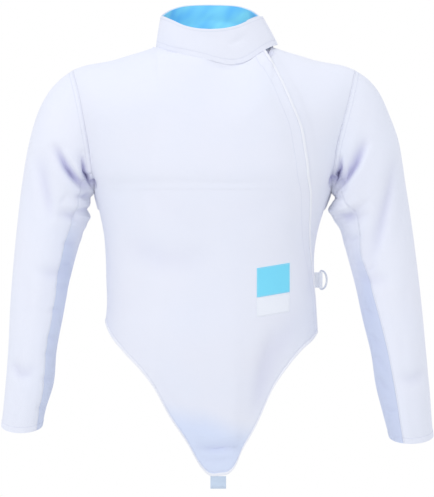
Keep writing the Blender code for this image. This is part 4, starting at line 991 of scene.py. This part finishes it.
def split_sleeve(rings, cells):
    """The upper piece, which goes over the outer side, and the under piece."""
    back_seam = 2 * ARM_ROWS - SLEEVE_SEAM_CELL
    behind = rings[:, cells >= back_seam][:, :-1]
    before = rings[:, cells <= SLEEVE_SEAM_CELL]
    under = rings[:, (cells >= SLEEVE_SEAM_CELL) & (cells <= back_seam)]
    return np.concatenate([behind, before], axis=1), under


def cloth_grids():
    rows = fine_steps(ARM_ROWS + LOW_ROWS, 0, SLEEVE_SEAM_CELL, ARM_ROWS, ARM_ROWS + LOW_ROWS)
    grids = {}
    for name, face, row_shares in (
        ("front_right", "front", front_right_row),
        ("front_left", "front", front_left_row),
        ("back", "back", back_row),
    ):
        cells = len(row_shares(0)) - 1
        grids[name] = fine_panel(face, row_shares, rows, fine_steps(cells, 0, cells))
    outwards = {"front_right": -1, "front_left": -1, "back": 1}
    for name, data, side in (("sleeve_right", SLEEVE_RIGHT, -1), ("sleeve_left", SLEEVE_LEFT, 1)):
        rings, cells = fine_sleeve(data, side, rows)
        grids[name + "_upper"], grids[name + "_under"] = split_sleeve(rings, cells)
        outwards[name + "_upper"] = side
        outwards[name + "_under"] = side
    return grids, outwards


def edge_distances(grid):
    """How far each point is from the grid's four edges, measured along the cloth."""
    down = np.linalg.norm(np.diff(grid, axis=0), axis=-1)
    across = np.linalg.norm(np.diff(grid, axis=1), axis=-1)
    top = np.concatenate([np.zeros((1, grid.shape[1])), np.cumsum(down, axis=0)])
    left = np.concatenate([np.zeros((grid.shape[0], 1)), np.cumsum(across, axis=1)], axis=1)
    return {"top": top, "bottom": top[-1:] - top, "left": left, "right": left[:, -1:] - left}


def seam_dip(gaps, edges):
    """How far the seams pull the cloth in."""
    dips = [SEAM_DEPTH * np.exp(-((gaps[edge] / SEAM_HALF_WIDTH) ** 2)) for edge in edges]
    return np.max(dips, axis=0)


def hem_rise(gap, width):
    """How far a turned-up hem stands out over the rest of the cloth."""
    return HEM_THICKNESS * (1 - ease((gap - width + HEM_STEP) / HEM_STEP))


# Meshes


def wall_mesh(name, outer, inner, outward, marks):
    """A closed wall between two grids of the same size, with the marks as values at its points."""
    rows, columns = outer.shape[:2]
    points = np.concatenate([outer.reshape(-1, 3), inner.reshape(-1, 3)])
    index = np.arange(rows * columns).reshape(rows, columns)
    quads = np.stack([index[:-1, :-1], index[:-1, 1:], index[1:, 1:], index[1:, :-1]], axis=-1).reshape(-1, 4)
    loop = np.concatenate([index[0, :], index[1:, -1], index[-1, -2::-1], index[-2:0:-1, 0]])
    after = np.roll(loop, -1)
    rim = np.stack([after, loop, loop + rows * columns, after + rows * columns], axis=-1)
    faces = np.concatenate([quads, quads[:, ::-1] + rows * columns, rim])
    if outward < 0:
        faces = faces[:, ::-1]
    mesh = bpy.data.meshes.new(name)
    mesh.from_pydata(points.tolist(), [], faces.tolist())
    for mark, values in marks.items():
        attribute = mesh.attributes.new(mark, "FLOAT", "POINT")
        attribute.data.foreach_set("value", np.tile(values.reshape(-1), 2).astype(np.float32))
    return mesh


def add(name, mesh, finish, body="jacket"):
    """Links a mesh, smooth but for its sharp edges, with its material, as a piece that rides on a body."""
    mesh.shade_smooth()
    mesh.set_sharp_from_angle(angle=np.radians(SHARP_ANGLE))
    obj = bpy.data.objects.new(name, mesh)
    obj.data.materials.append(finish)
    bpy.context.scene.collection.objects.link(obj)
    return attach(obj, body)


def line_at(grid, gaps, edge, distance):
    """The grid's values along a line that keeps one distance from an edge."""
    gap = gaps[edge]
    if edge in ("left", "right"):
        grid = grid.transpose(1, 0, 2)
        gap = gap.T
    if edge in ("bottom", "right"):
        grid = grid[::-1]
        gap = gap[::-1]
    columns = [[np.interp(distance, gap[:, c], grid[:, c, n]) for n in range(3)] for c in range(grid.shape[1])]
    return np.array(columns)


def spaced(line, ways, spacing):
    """Points at even spacing along a line, with their tangents and out directions."""
    run = np.concatenate([[0], np.cumsum(np.linalg.norm(np.diff(line, axis=0), axis=-1))])
    places = np.arange(spacing / 2, run[-1], spacing)
    at = np.stack([np.interp(places, run, line[:, n]) for n in range(3)], axis=-1)
    out = np.stack([np.interp(places, run, ways[:, n]) for n in range(3)], axis=-1)
    return at, unit(np.gradient(at, axis=0)), unit(out)


def stitch_mesh(name, lines):
    """Rows of stitches, each a small grain of thread that lies along its line."""
    points = []
    faces = []
    for line, ways in lines:
        at, along, out = spaced(line, ways, STITCH_SPACING)
        beside = np.cross(along, out)
        for place, length, lift, width in zip(at, along, out, beside):
            first = len(points)
            middle = place + lift * STITCH_LIFT
            points += [middle - length * STITCH_LENGTH / 2, middle + length * STITCH_LENGTH / 2]
            points += [middle + width * STITCH_WIDTH / 2, middle - width * STITCH_WIDTH / 2]
            points += [middle + lift * STITCH_WIDTH / 2, middle - lift * STITCH_WIDTH / 2]
            for a, b in ((2, 4), (4, 3), (3, 5), (5, 2)):
                faces.append((first, first + b, first + a))
                faces.append((first + 1, first + a, first + b))
    mesh = bpy.data.meshes.new(name)
    mesh.from_pydata([tuple(point) for point in points], [], faces)
    return mesh


# Materials


class Nodes:
    """A material's nodes, added one by one."""

    def __init__(self, name):
        self.material = bpy.data.materials.new(name)
        self.material.use_nodes = True
        self.tree = self.material.node_tree
        self.shader = self.tree.nodes["Principled BSDF"]

    def put(self, socket, value):
        if isinstance(value, bpy.types.NodeSocket):
            self.tree.links.new(value, socket)
        else:
            socket.default_value = value

    def math(self, operation, *values):
        node = self.tree.nodes.new("ShaderNodeMath")
        node.operation = operation
        for socket, value in zip(node.inputs, values):
            self.put(socket, value)
        return node.outputs[0]

    def mark(self, name):
        node = self.tree.nodes.new("ShaderNodeAttribute")
        node.attribute_name = name
        return node.outputs["Fac"]

    def band(self, value, place, half_width):
        """1 where the value is at the place, falling smoothly to 0 at half_width from it."""
        node = self.tree.nodes.new("ShaderNodeMapRange")
        node.interpolation_type = "SMOOTHSTEP"
        away = self.math("ABSOLUTE", self.math("SUBTRACT", value, place))
        self.put(node.inputs["Value"], away)
        self.put(node.inputs["From Max"], half_width)
        self.put(node.inputs["To Min"], 1.0)
        self.put(node.inputs["To Max"], 0.0)
        return node.outputs[0]

    def rise(self, value, start, end):
        """0 up to the start, then smoothly up to 1 at the end."""
        node = self.tree.nodes.new("ShaderNodeMapRange")
        node.interpolation_type = "SMOOTHSTEP"
        self.put(node.inputs["Value"], value)
        self.put(node.inputs["From Min"], start)
        self.put(node.inputs["From Max"], end)
        return node.outputs[0]

    def noise(self, scale, detail=2.0, stretch=(1.0, 1.0, 1.0), slant=0.0):
        """A soft noise, drawn out by the stretch along axes that are turned by the slant as seen from the front."""
        place = self.tree.nodes.new("ShaderNodeTexCoord")
        mapping = self.tree.nodes.new("ShaderNodeMapping")
        mapping.vector_type = "TEXTURE"
        self.put(mapping.inputs["Vector"], place.outputs["Object"])
        self.put(mapping.inputs["Scale"], stretch)
        self.put(mapping.inputs["Rotation"], (0.0, slant, 0.0))
        node = self.tree.nodes.new("ShaderNodeTexNoise")
        self.put(node.inputs["Vector"], mapping.outputs[0])
        self.put(node.inputs["Scale"], scale)
        self.put(node.inputs["Detail"], detail)
        return node.outputs["Fac"]

    def wave(self, value, length):
        """A sine along the value, one wave to each length."""
        return self.math("SINE", self.math("MULTIPLY", value, 2 * np.pi / length))

    def colours(self, share, first, second):
        node = self.tree.nodes.new("ShaderNodeMix")
        node.data_type = "RGBA"
        self.put(node.inputs["Factor"], share)
        self.put(node.inputs[6], first if isinstance(first, bpy.types.NodeSocket) else (*first, 1.0))
        self.put(node.inputs[7], (*second, 1.0))
        return node.outputs[2]

    def finish(self, colour, roughness, height=None, metallic=0.0, sheen=0.0):
        self.put(self.shader.inputs["Base Color"], colour)
        self.put(self.shader.inputs["Roughness"], roughness)
        self.put(self.shader.inputs["Metallic"], metallic)
        self.put(self.shader.inputs["Sheen Weight"], sheen)
        if height is not None:
            bump = self.tree.nodes.new("ShaderNodeBump")
            bump.inputs["Distance"].default_value = 1.0
            self.put(bump.inputs["Height"], height)
            self.put(self.shader.inputs["Normal"], bump.outputs[0])
        return self.material


def twill(nodes):
    """Height of a fine diagonal weave, in metres."""
    across = nodes.mark("left")
    down = nodes.mark("top")
    slant = nodes.wave(nodes.math("ADD", across, down), TWILL_PITCH)
    threads = nodes.wave(nodes.math("SUBTRACT", across, down), TWILL_PITCH * 2)
    return nodes.math("MULTIPLY", nodes.math("ADD", slant, nodes.math("MULTIPLY", threads, 0.5)), TWILL_HEIGHT)


def cloth(name, seams, stitch_lines, colours=CLOTH_COLOURS):
    """Twill with puckers along its seams, a groove with painted shade along each seam and line of stitches, and
    painted shade deep in its folds, near-black in the deepest.

    Some pieces get painted shade, a cooler tone, away from their top.
    """
    nodes = Nodes(name)
    height = twill(nodes)
    crumple = nodes.math("MULTIPLY", nodes.noise(CRUMPLE_SCALE, 3.0), CRUMPLE_HEIGHT)
    height = nodes.math("ADD", height, crumple)
    puckers = nodes.noise(PUCKER_SCALE, 1.0)
    groove_shade_mask = 0.0
    for edge, distance in [(edge, 0.0) for edge in seams] + list(stitch_lines):
        gap = nodes.mark(edge)
        groove = nodes.band(gap, distance, GROOVE_HALF_WIDTH)
        beside = nodes.math("MULTIPLY", nodes.band(gap, distance, PUCKER_REACH), nodes.math("SUBTRACT", puckers, 0.5))
        height = nodes.math("SUBTRACT", height, nodes.math("MULTIPLY", groove, GROOVE_DEPTH))
        height = nodes.math("ADD", height, nodes.math("MULTIPLY", beside, PUCKER_HEIGHT))
        groove_shade_mask = nodes.math("MAXIMUM", groove_shade_mask, groove)
    toned = nodes.colours(nodes.noise(TONE_SCALE, 2.0), *colours)
    # Painted shade: a cooler tone away from the top on the sleeves' under sides and the front's point
    if name in PAINTED_SHADE_TONES:
        colour, start, end = PAINTED_SHADE_TONES[name]
        toned = nodes.colours(nodes.rise(nodes.mark("top"), start, end), toned, colour)
    # Painted shade along the grooves of the seams and the lines of stitches
    groove_shaded = nodes.colours(nodes.math("MULTIPLY", groove_shade_mask, GROOVE_SHADE), toned, PAINTED_GROOVE_SHADE_COLOUR)
    # Painted shade deep in the folds by their depth, near-black painted shade in the deepest
    deep = nodes.math("MINIMUM", nodes.math("DIVIDE", nodes.mark("crease"), CREASE_DEEPEST), 1.0)
    share = nodes.math("MULTIPLY", nodes.math("POWER", deep, CREASE_CURVE), CREASE_SHARE)
    crease_shaded = nodes.colours(share, groove_shaded, PAINTED_CREASE_SHADE)
    share = nodes.math("MULTIPLY", nodes.math("POWER", deep, PIT_CURVE), PIT_SHARE)
    return nodes.finish(nodes.colours(share, crease_shaded, PAINTED_PIT_SHADE), CLOTH_ROUGHNESS, height, sheen=CLOTH_SHEEN)


def plain_weave(name, colour, shade, pitch, roughness=0.8):
    """A plain weave or ribbed webbing, by the piece's own width."""
    nodes = Nodes(name)
    across = nodes.wave(nodes.mark("left"), pitch)
    down = nodes.wave(nodes.mark("top"), pitch)
    weave = nodes.math("MULTIPLY", across, down)
    height = nodes.math("MULTIPLY", weave, pitch * WEAVE_RELIEF)
    share = nodes.math("ADD", nodes.math("MULTIPLY", weave, WEAVE_TONE), nodes.noise(TONE_SCALE, 2.0))
    return nodes.finish(nodes.colours(share, colour, shade), roughness, height)


def lining_cloth():
    """Blue lining with soft slanting streaks."""
    nodes = Nodes("lining")
    streaks = nodes.noise(LINING_STREAK_SCALE, 1.0, LINING_STREAK_STRETCH, LINING_STREAK_SLANT)
    height = nodes.math("MULTIPLY", streaks, LINING_STREAK_HEIGHT)
    share = nodes.math("MULTIPLY", nodes.math("SUBTRACT", streaks, 0.5), LINING_STREAK_CONTRAST)
    share = nodes.math("ADD", share, 0.5)
    return nodes.finish(nodes.colours(share, LINING_COLOUR, LINING_SHADE), 0.6, height, sheen=0.3)


def steel():
    nodes = Nodes("steel")
    scuffs = nodes.noise(STEEL_SCUFF_SCALE, 3.0)
    roughness = nodes.math("ADD", STEEL_ROUGHNESS, nodes.math("MULTIPLY", scuffs, STEEL_SCUFF_SHARE))
    height = nodes.math("MULTIPLY", scuffs, STEEL_SCUFF_HEIGHT)
    return nodes.finish((*STEEL_COLOUR, 1.0), roughness, height, metallic=1.0)


def thread():
    nodes = Nodes("thread")
    return nodes.finish((*THREAD_COLOUR, 1.0), 0.7)


THREAD = thread()


# Cloth pieces


def body_and_sleeves():
    """Makes the cloth panels, and gives each one's outer grid, out directions, distances and object."""
    grids, outwards = cloth_grids()
    moved, shared, creases = folded(grids, outwards)
    gaps = {name: edge_distances(grid) for name, grid in moved.items()}
    keys = {name: keys_of(grid) for name, grid in grids.items()}
    for name, grid in moved.items():
        moved[name] = grid - shared[name] * seam_dip(gaps[name], SEAMS[name])[..., None]
        if name.endswith("upper") or name.endswith("under"):
            moved[name] += shared[name] * hem_rise(gaps[name]["bottom"], CUFF_HEM)[..., None]
    shared, squareness = seam_directions(moved, outwards, keys)
    moved["front_left"] = under_lap(moved["front_left"], shared["front_left"])
    made = {}
    for name, grid in moved.items():
        inner = grid - shared[name] * CLOTH / np.maximum(squareness[name], MITRE_LIMIT)
        outer, inner = drawn_in(grid, inner)
        mesh = wall_mesh(name + "_cloth", outer, inner, outwards[name], {**gaps[name], "crease": creases[name]})
        obj = add(name + "_cloth", mesh, cloth(name, SEAMS[name], STITCH_LINES[name]))
        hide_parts(name)
        made[name] = (outer, shared[name], gaps[name], obj)
    return made


def cloth_stitches(made):
    """The rows of stitches on each panel."""
    pieces = {}
    for name, (outer, ways, gaps, _) in made.items():
        lines = []
        for edge, distance in STITCH_LINES[name]:
            lines.append((line_at(outer, gaps, edge, distance), line_at(ways, gaps, edge, distance)))
        pieces[name] = add(name + "_stitches", stitch_mesh(name + "_stitches", lines), THREAD)
    return pieces


def band_on(name, node, panel, edge, width, outward, finish):
    """A narrow strip with rounded sides on a panel, along one of its edges."""
    outer, ways, gaps, _ = panel
    profile = np.array([0.0, 0.06, 0.2, 0.5, 0.8, 0.94, 1.0])
    raised = np.sqrt(np.maximum(0.0, 1 - np.abs(2 * profile - 1) ** 6))
    lines = [line_at(outer, gaps, edge, width * share) for share in profile]
    lifts = [unit(line_at(ways, gaps, edge, width * share)) for share in profile]
    grid = np.stack(lines, axis=1)
    lift = np.stack(lifts, axis=1)
    top = grid + lift * (STRIP_THICKNESS * (0.15 + 0.85 * raised))[None, :, None]
    mesh = wall_mesh(name, top, grid + lift * 0.00005, outward, edge_distances(grid))
    obj = add(name, mesh, finish)
    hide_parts(node)
    return obj


# Collar


def collar_lines():
    """Rows of the collar's outer surface from the rim down to the base, and the turns of its columns."""
    even = np.arange(COLLAR_START, COLLAR_END + 1, COLLAR_FINE_STEP)
    turns = np.unique(np.concatenate([even, COLLAR_END - COLLAR_END_STEPS]))
    shares = np.unique(np.concatenate([np.linspace(0, 1, COLLAR_FINE_ROWS), 1 - COLLAR_RIM_STEPS]))[::-1]
    return np.array([collar_ring(turns, share) for share in shares]), turns


def collar_piece():
    grid, _ = collar_lines()
    way = directions(grid, -1)
    gaps = edge_distances(grid)
    depths = fold_depths(grid, way[..., 1], COLLAR_FOLDS)
    grid = grid - way * depths[..., None]
    way = directions(grid, -1)
    nearest = np.minimum(gaps["top"], gaps["right"])
    cap = np.sqrt(np.clip(1 - (1 - np.clip(nearest / (COLLAR_CLOTH / 2), 0, 1)) ** 2, 0.02, 1))
    middle = grid - way * COLLAR_CLOTH / 2
    half = COLLAR_CLOTH / 2 * cap[..., None]
    mesh = wall_mesh("collar_cloth", middle + way * half, middle - way * half, -1, gaps)
    obj = add("collar_cloth", mesh, cloth("collar_cloth", [], COLLAR_STITCHES))
    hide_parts("collar")
    lines = []
    for edge, distance in COLLAR_STITCHES:
        lines.append((line_at(grid, gaps, edge, distance), line_at(way, gaps, edge, distance)))
    stitches = add("collar_stitches", stitch_mesh("collar_stitches", lines), THREAD)
    return obj, stitches, grid, way, gaps


def collar_lining(grid, way, gaps):
    step_in = COLLAR_CLOTH + SEAM_GAP
    inside = grid - way * step_in
    _, turns = collar_lines()
    keep = turns <= LINING_END
    distances = np.linspace(LINING_BELOW_RIM, LINING_DEEP, LINING_ROWS)
    rows = np.array([line_at(inside, gaps, "top", distance) for distance in distances])
    outs = np.array([line_at(way, gaps, "top", distance) for distance in distances])
    outer = rows[:, keep]
    inner = outer - unit(outs[:, keep]) * LINING_CLOTH
    mesh = wall_mesh("collar_lining_cloth", outer, inner, -1, edge_distances(outer))
    obj = add("collar_lining_cloth", mesh, lining_cloth())
    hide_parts("collar_lining")
    return obj


# Labels


def on_front(x, z):
    """Points of the front's surface seen from the front at x and z."""
    left = read(BODY, "left", z)
    right = read(BODY, "right", z)
    return body_point("front", (x - (left + right) / 2) / ((right - left) / 2), z)


def label_piece(name, node, top_z, height, finish):
    across, down = np.meshgrid(np.linspace(-0.5, 0.5, LABEL_FINE), np.linspace(0, 1, LABEL_FINE))
    grid = on_front(LABEL_X + across * LABEL_WIDTH, top_z + across * LABEL_CLIMB - down * height)
    way = directions(grid, -1)
    for folds in (FOLDS, MORE_FOLDS):
        grid = grid - way * fold_depths(grid, way[..., 1], folds)[..., None]
    way = directions(grid, -1)
    gaps = edge_distances(grid)
    nearest = np.minimum(np.minimum(gaps["top"], gaps["bottom"]), np.minimum(gaps["left"], gaps["right"]))
    cap = np.sqrt(np.clip(nearest / LABEL_THICKNESS, 0.1, 1))
    outer = grid + way * (LABEL_FLOAT + LABEL_THICKNESS * cap)[..., None]
    obj = add(name, wall_mesh(name, outer, grid + way * LABEL_FLOAT, -1, gaps), finish)
    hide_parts(node)
    lines = []
    for edge in ("top", "bottom", "left", "right"):
        lines.append((line_at(outer, gaps, edge, LABEL_STITCH), line_at(way, gaps, edge, LABEL_STITCH)))
    stitches = add(name + "_stitches", stitch_mesh(name + "_stitches", lines), THREAD)
    return obj, stitches


# Webbing and ring


def webbing_loop(name, node, reach, hole, root, width, place, finish):
    mesh = loop_mesh(name, reach, hole, root, width, place)
    bevel_loop(mesh)
    mark_widths(mesh, width, place)
    obj = add(name, mesh, finish)
    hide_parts(node)
    return obj


def bevel_loop(mesh):
    """Takes the sharpness off the webbing's long edges."""
    shape = bmesh.new()
    shape.from_mesh(mesh)
    sharp = [edge for edge in shape.edges if edge.calc_face_angle(0.0) > np.radians(LOOP_BEVEL_ANGLE)]
    bmesh.ops.bevel(shape, geom=sharp, offset=LOOP_BEVEL, segments=2, profile=0.5, affect="EDGES")
    shape.to_mesh(mesh)
    shape.free()


def mark_widths(mesh, width, place):
    """Marks each point with its place across the webbing and along it, for the weave."""
    points = np.array([vertex.co for vertex in mesh.vertices])
    start = np.array(place(0.0, 0.0, -width / 2))
    along = unit(np.array(place(0.0, 0.0, width / 2)) - start)
    out = unit(np.array(place(1.0, 0.0, 0.0)) - np.array(place(0.5, 0.0, 0.0)))
    for mark, way in (("left", along), ("top", out)):
        attribute = mesh.attributes.new(mark, "FLOAT", "POINT")
        attribute.data.foreach_set("value", ((points - start) @ way).astype(np.float32))


def crotch_loop(panel, finish):
    outer = panel[0]
    row = outer[-1]
    lowest = np.array([np.interp(CROTCH_LOOP_X, row[:, 0], row[:, n]) for n in range(3)])
    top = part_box("crotch_loop")[1].z
    y = lowest[1] + CLOTH / 2

    def place(out, across, along):
        return (CROTCH_LOOP_X + along, y + across, top - out)

    args = (CROTCH_LOOP_LENGTH, CROTCH_LOOP_HOLE, CROTCH_LOOP_ROOT, CROTCH_LOOP_WIDTH, place, finish)
    return webbing_loop("hem_loop", "crotch_loop", *args)


def ring_tab(finish):
    start = tab_side(TAB_Z)

    def place(out, across, along):
        x = tab_side(TAB_Z + along) if out == 0 else start + out
        return (x, SIDE_Y + across, TAB_Z + along)

    return webbing_loop("side_tab", "ring_tab", TAB_REACH, TAB_HOLE, TAB_ROOT, TAB_WIDTH, place, finish)


def ring_piece(finish):
    """A round wire along the D's middle line."""
    path = np.array([(out, 0.0, up) for out, up in ring_path()])
    along = unit(np.roll(path, -1, axis=0) - np.roll(path, 1, axis=0))
    beside = np.array([0.0, 1.0, 0.0])
    points = []
    for place, way in zip(path, along):
        across = np.cross(way, beside)
        for turn in np.linspace(0, 2 * np.pi, RING_SIDES, endpoint=False):
            points.append(place + RING_WIRE * (np.cos(turn) * beside + np.sin(turn) * across))
    points = np.array(points)
    turn = np.radians(RING_TURN)
    spun = np.array([[np.cos(turn), -np.sin(turn), 0.0], [np.sin(turn), np.cos(turn), 0.0], [0.0, 0.0, 1.0]])
    hinge = np.array([tab_side(TAB_Z) + TAB_REACH - TAB_HOLE - WEBBING, SIDE_Y, TAB_Z])
    points = points @ spun.T + hinge
    faces = []
    for i in range(len(path)):
        j = (i + 1) % len(path)
        for k in range(RING_SIDES):
            after = (k + 1) % RING_SIDES
            faces.append((i * RING_SIDES + k, i * RING_SIDES + after, j * RING_SIDES + after, j * RING_SIDES + k))
    mesh = bpy.data.meshes.new("side_ring")
    mesh.from_pydata(points.tolist(), [], faces)
    obj = add("side_ring", mesh, finish, body="ring")
    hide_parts("d_ring")
    return obj


# Stage


def world():
    """A white surround whose light is a little weaker and cooler than it looks, so that folds keep their shade."""
    made = bpy.data.worlds.new("studio")
    made.use_nodes = True
    tree = made.node_tree
    surround = tree.nodes["Background"]
    surround.inputs["Color"].default_value = (*SURROUND_COLOUR, 1.0)
    surround.inputs["Strength"].default_value = SURROUND_STRENGTH
    backdrop = tree.nodes.new("ShaderNodeBackground")
    backdrop.inputs["Color"].default_value = (*BACKDROP_COLOUR, 1.0)
    rays = tree.nodes.new("ShaderNodeLightPath")
    both = tree.nodes.new("ShaderNodeMixShader")
    tree.links.new(rays.outputs["Is Camera Ray"], both.inputs[0])
    tree.links.new(surround.outputs[0], both.inputs[1])
    tree.links.new(backdrop.outputs[0], both.inputs[2])
    tree.links.new(both.outputs[0], tree.nodes["World Output"].inputs["Surface"])
    bpy.context.scene.world = made


def floor():
    mesh = bpy.data.meshes.new("floor")
    half = FLOOR_SIZE / 2
    corners = [(-half, -half, FLOOR_Z), (half, -half, FLOOR_Z), (half, half, FLOOR_Z), (-half, half, FLOOR_Z)]
    mesh.from_pydata(corners, [], [(0, 1, 2, 3)])
    obj = bpy.data.objects.new("floor", mesh)
    nodes = Nodes("floor")
    mesh.materials.append(nodes.finish((*FLOOR_COLOUR, 1.0), 0.9))
    bpy.context.scene.collection.objects.link(obj)


def aim(obj, target):
    obj.rotation_euler = (Vector(target) - obj.location).to_track_quat("-Z", "Y").to_euler()


def light(name, place, size, power):
    data = bpy.data.lights.new(name, "AREA")
    data.shape = "SQUARE"
    data.size = size
    data.energy = power
    data.color = LIGHT_COLOUR
    obj = bpy.data.objects.new(name, data)
    obj.location = place
    bpy.context.scene.collection.objects.link(obj)
    aim(obj, MIDDLE)
    return obj


def lights(lining):
    """The studio's lights, with one more for the lining alone, which the collar keeps from the surround's light."""
    for name, place, size, power in LIGHTS:
        light(name, place, size, power)
    lit = bpy.data.collections.new("lit_by_neck_light")
    lit.objects.link(lining)
    light(*NECK_LIGHT).light_linking.receiver_collection = lit


def camera():
    data = bpy.data.cameras.new("camera")
    data.lens = data.sensor_width * CAMERA_DISTANCE / VIEW_HEIGHT
    obj = bpy.data.objects.new("camera", data)
    obj.location = (CAMERA_X, -CAMERA_DISTANCE, CAMERA_Z)
    bpy.context.scene.collection.objects.link(obj)
    aim(obj, (CAMERA_X, 0.0, CAMERA_Z))
    bpy.context.scene.camera = obj
    bpy.context.scene.view_settings.view_transform = "Standard"


def declare_sheets(pieces):
    """Goes through each piece of cloth with its stitches, and does nothing with them."""
    for obj, stitches in pieces:
        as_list(stitches)


def main():
    made = body_and_sleeves()
    stitches = cloth_stitches(made)
    binding = cloth("binding_cloth", [], [], BINDING_COLOURS)
    band_on("flap_edge_strip", "flap_edge", made["front_right"], "right", FLAP_STRIP_WIDTH, 1, binding)
    band_on("hem_binding_strip", "hem_binding", made["front_right"], "bottom", BINDING_WIDTH, -1, binding)
    collar, collar_stitches, grid, way, gaps = collar_piece()
    lining = collar_lining(grid, way, gaps)
    blue = plain_weave("blue_label", LABEL_BLUE, LABEL_BLUE_SHADE, LABEL_PITCH)
    white = plain_weave("white_label", LABEL_WHITE, LABEL_WHITE_SHADE, LABEL_PITCH)
    lower_z = LABEL_TOP_Z - UPPER_LABEL_HEIGHT - LABEL_GAP
    upper = label_piece("blue_patch", "label_upper", LABEL_TOP_Z, UPPER_LABEL_HEIGHT, blue)
    lower = label_piece("white_patch", "label_lower", lower_z, LOWER_LABEL_HEIGHT, white)
    webbing = plain_weave("webbing", WEBBING_COLOUR, WEBBING_SHADE, WEBBING_PITCH)
    loop = crotch_loop(made["front_right"], webbing)
    tab = ring_tab(plain_weave("tab_webbing", TAB_COLOUR, TAB_SHADE, WEBBING_PITCH))
    ring_piece(steel())
    panels = [(obj, [stitches[name]]) for name, (_, _, _, obj) in made.items()]
    sewn = [(collar, [collar_stitches]), (upper[0], [upper[1]]), (lower[0], [lower[1]])]
    plain = [(obj, []) for obj in (lining, loop, tab)]
    declare_sheets(panels + sewn + plain)
    world()
    floor()
    lights(lining)
    camera()


main()
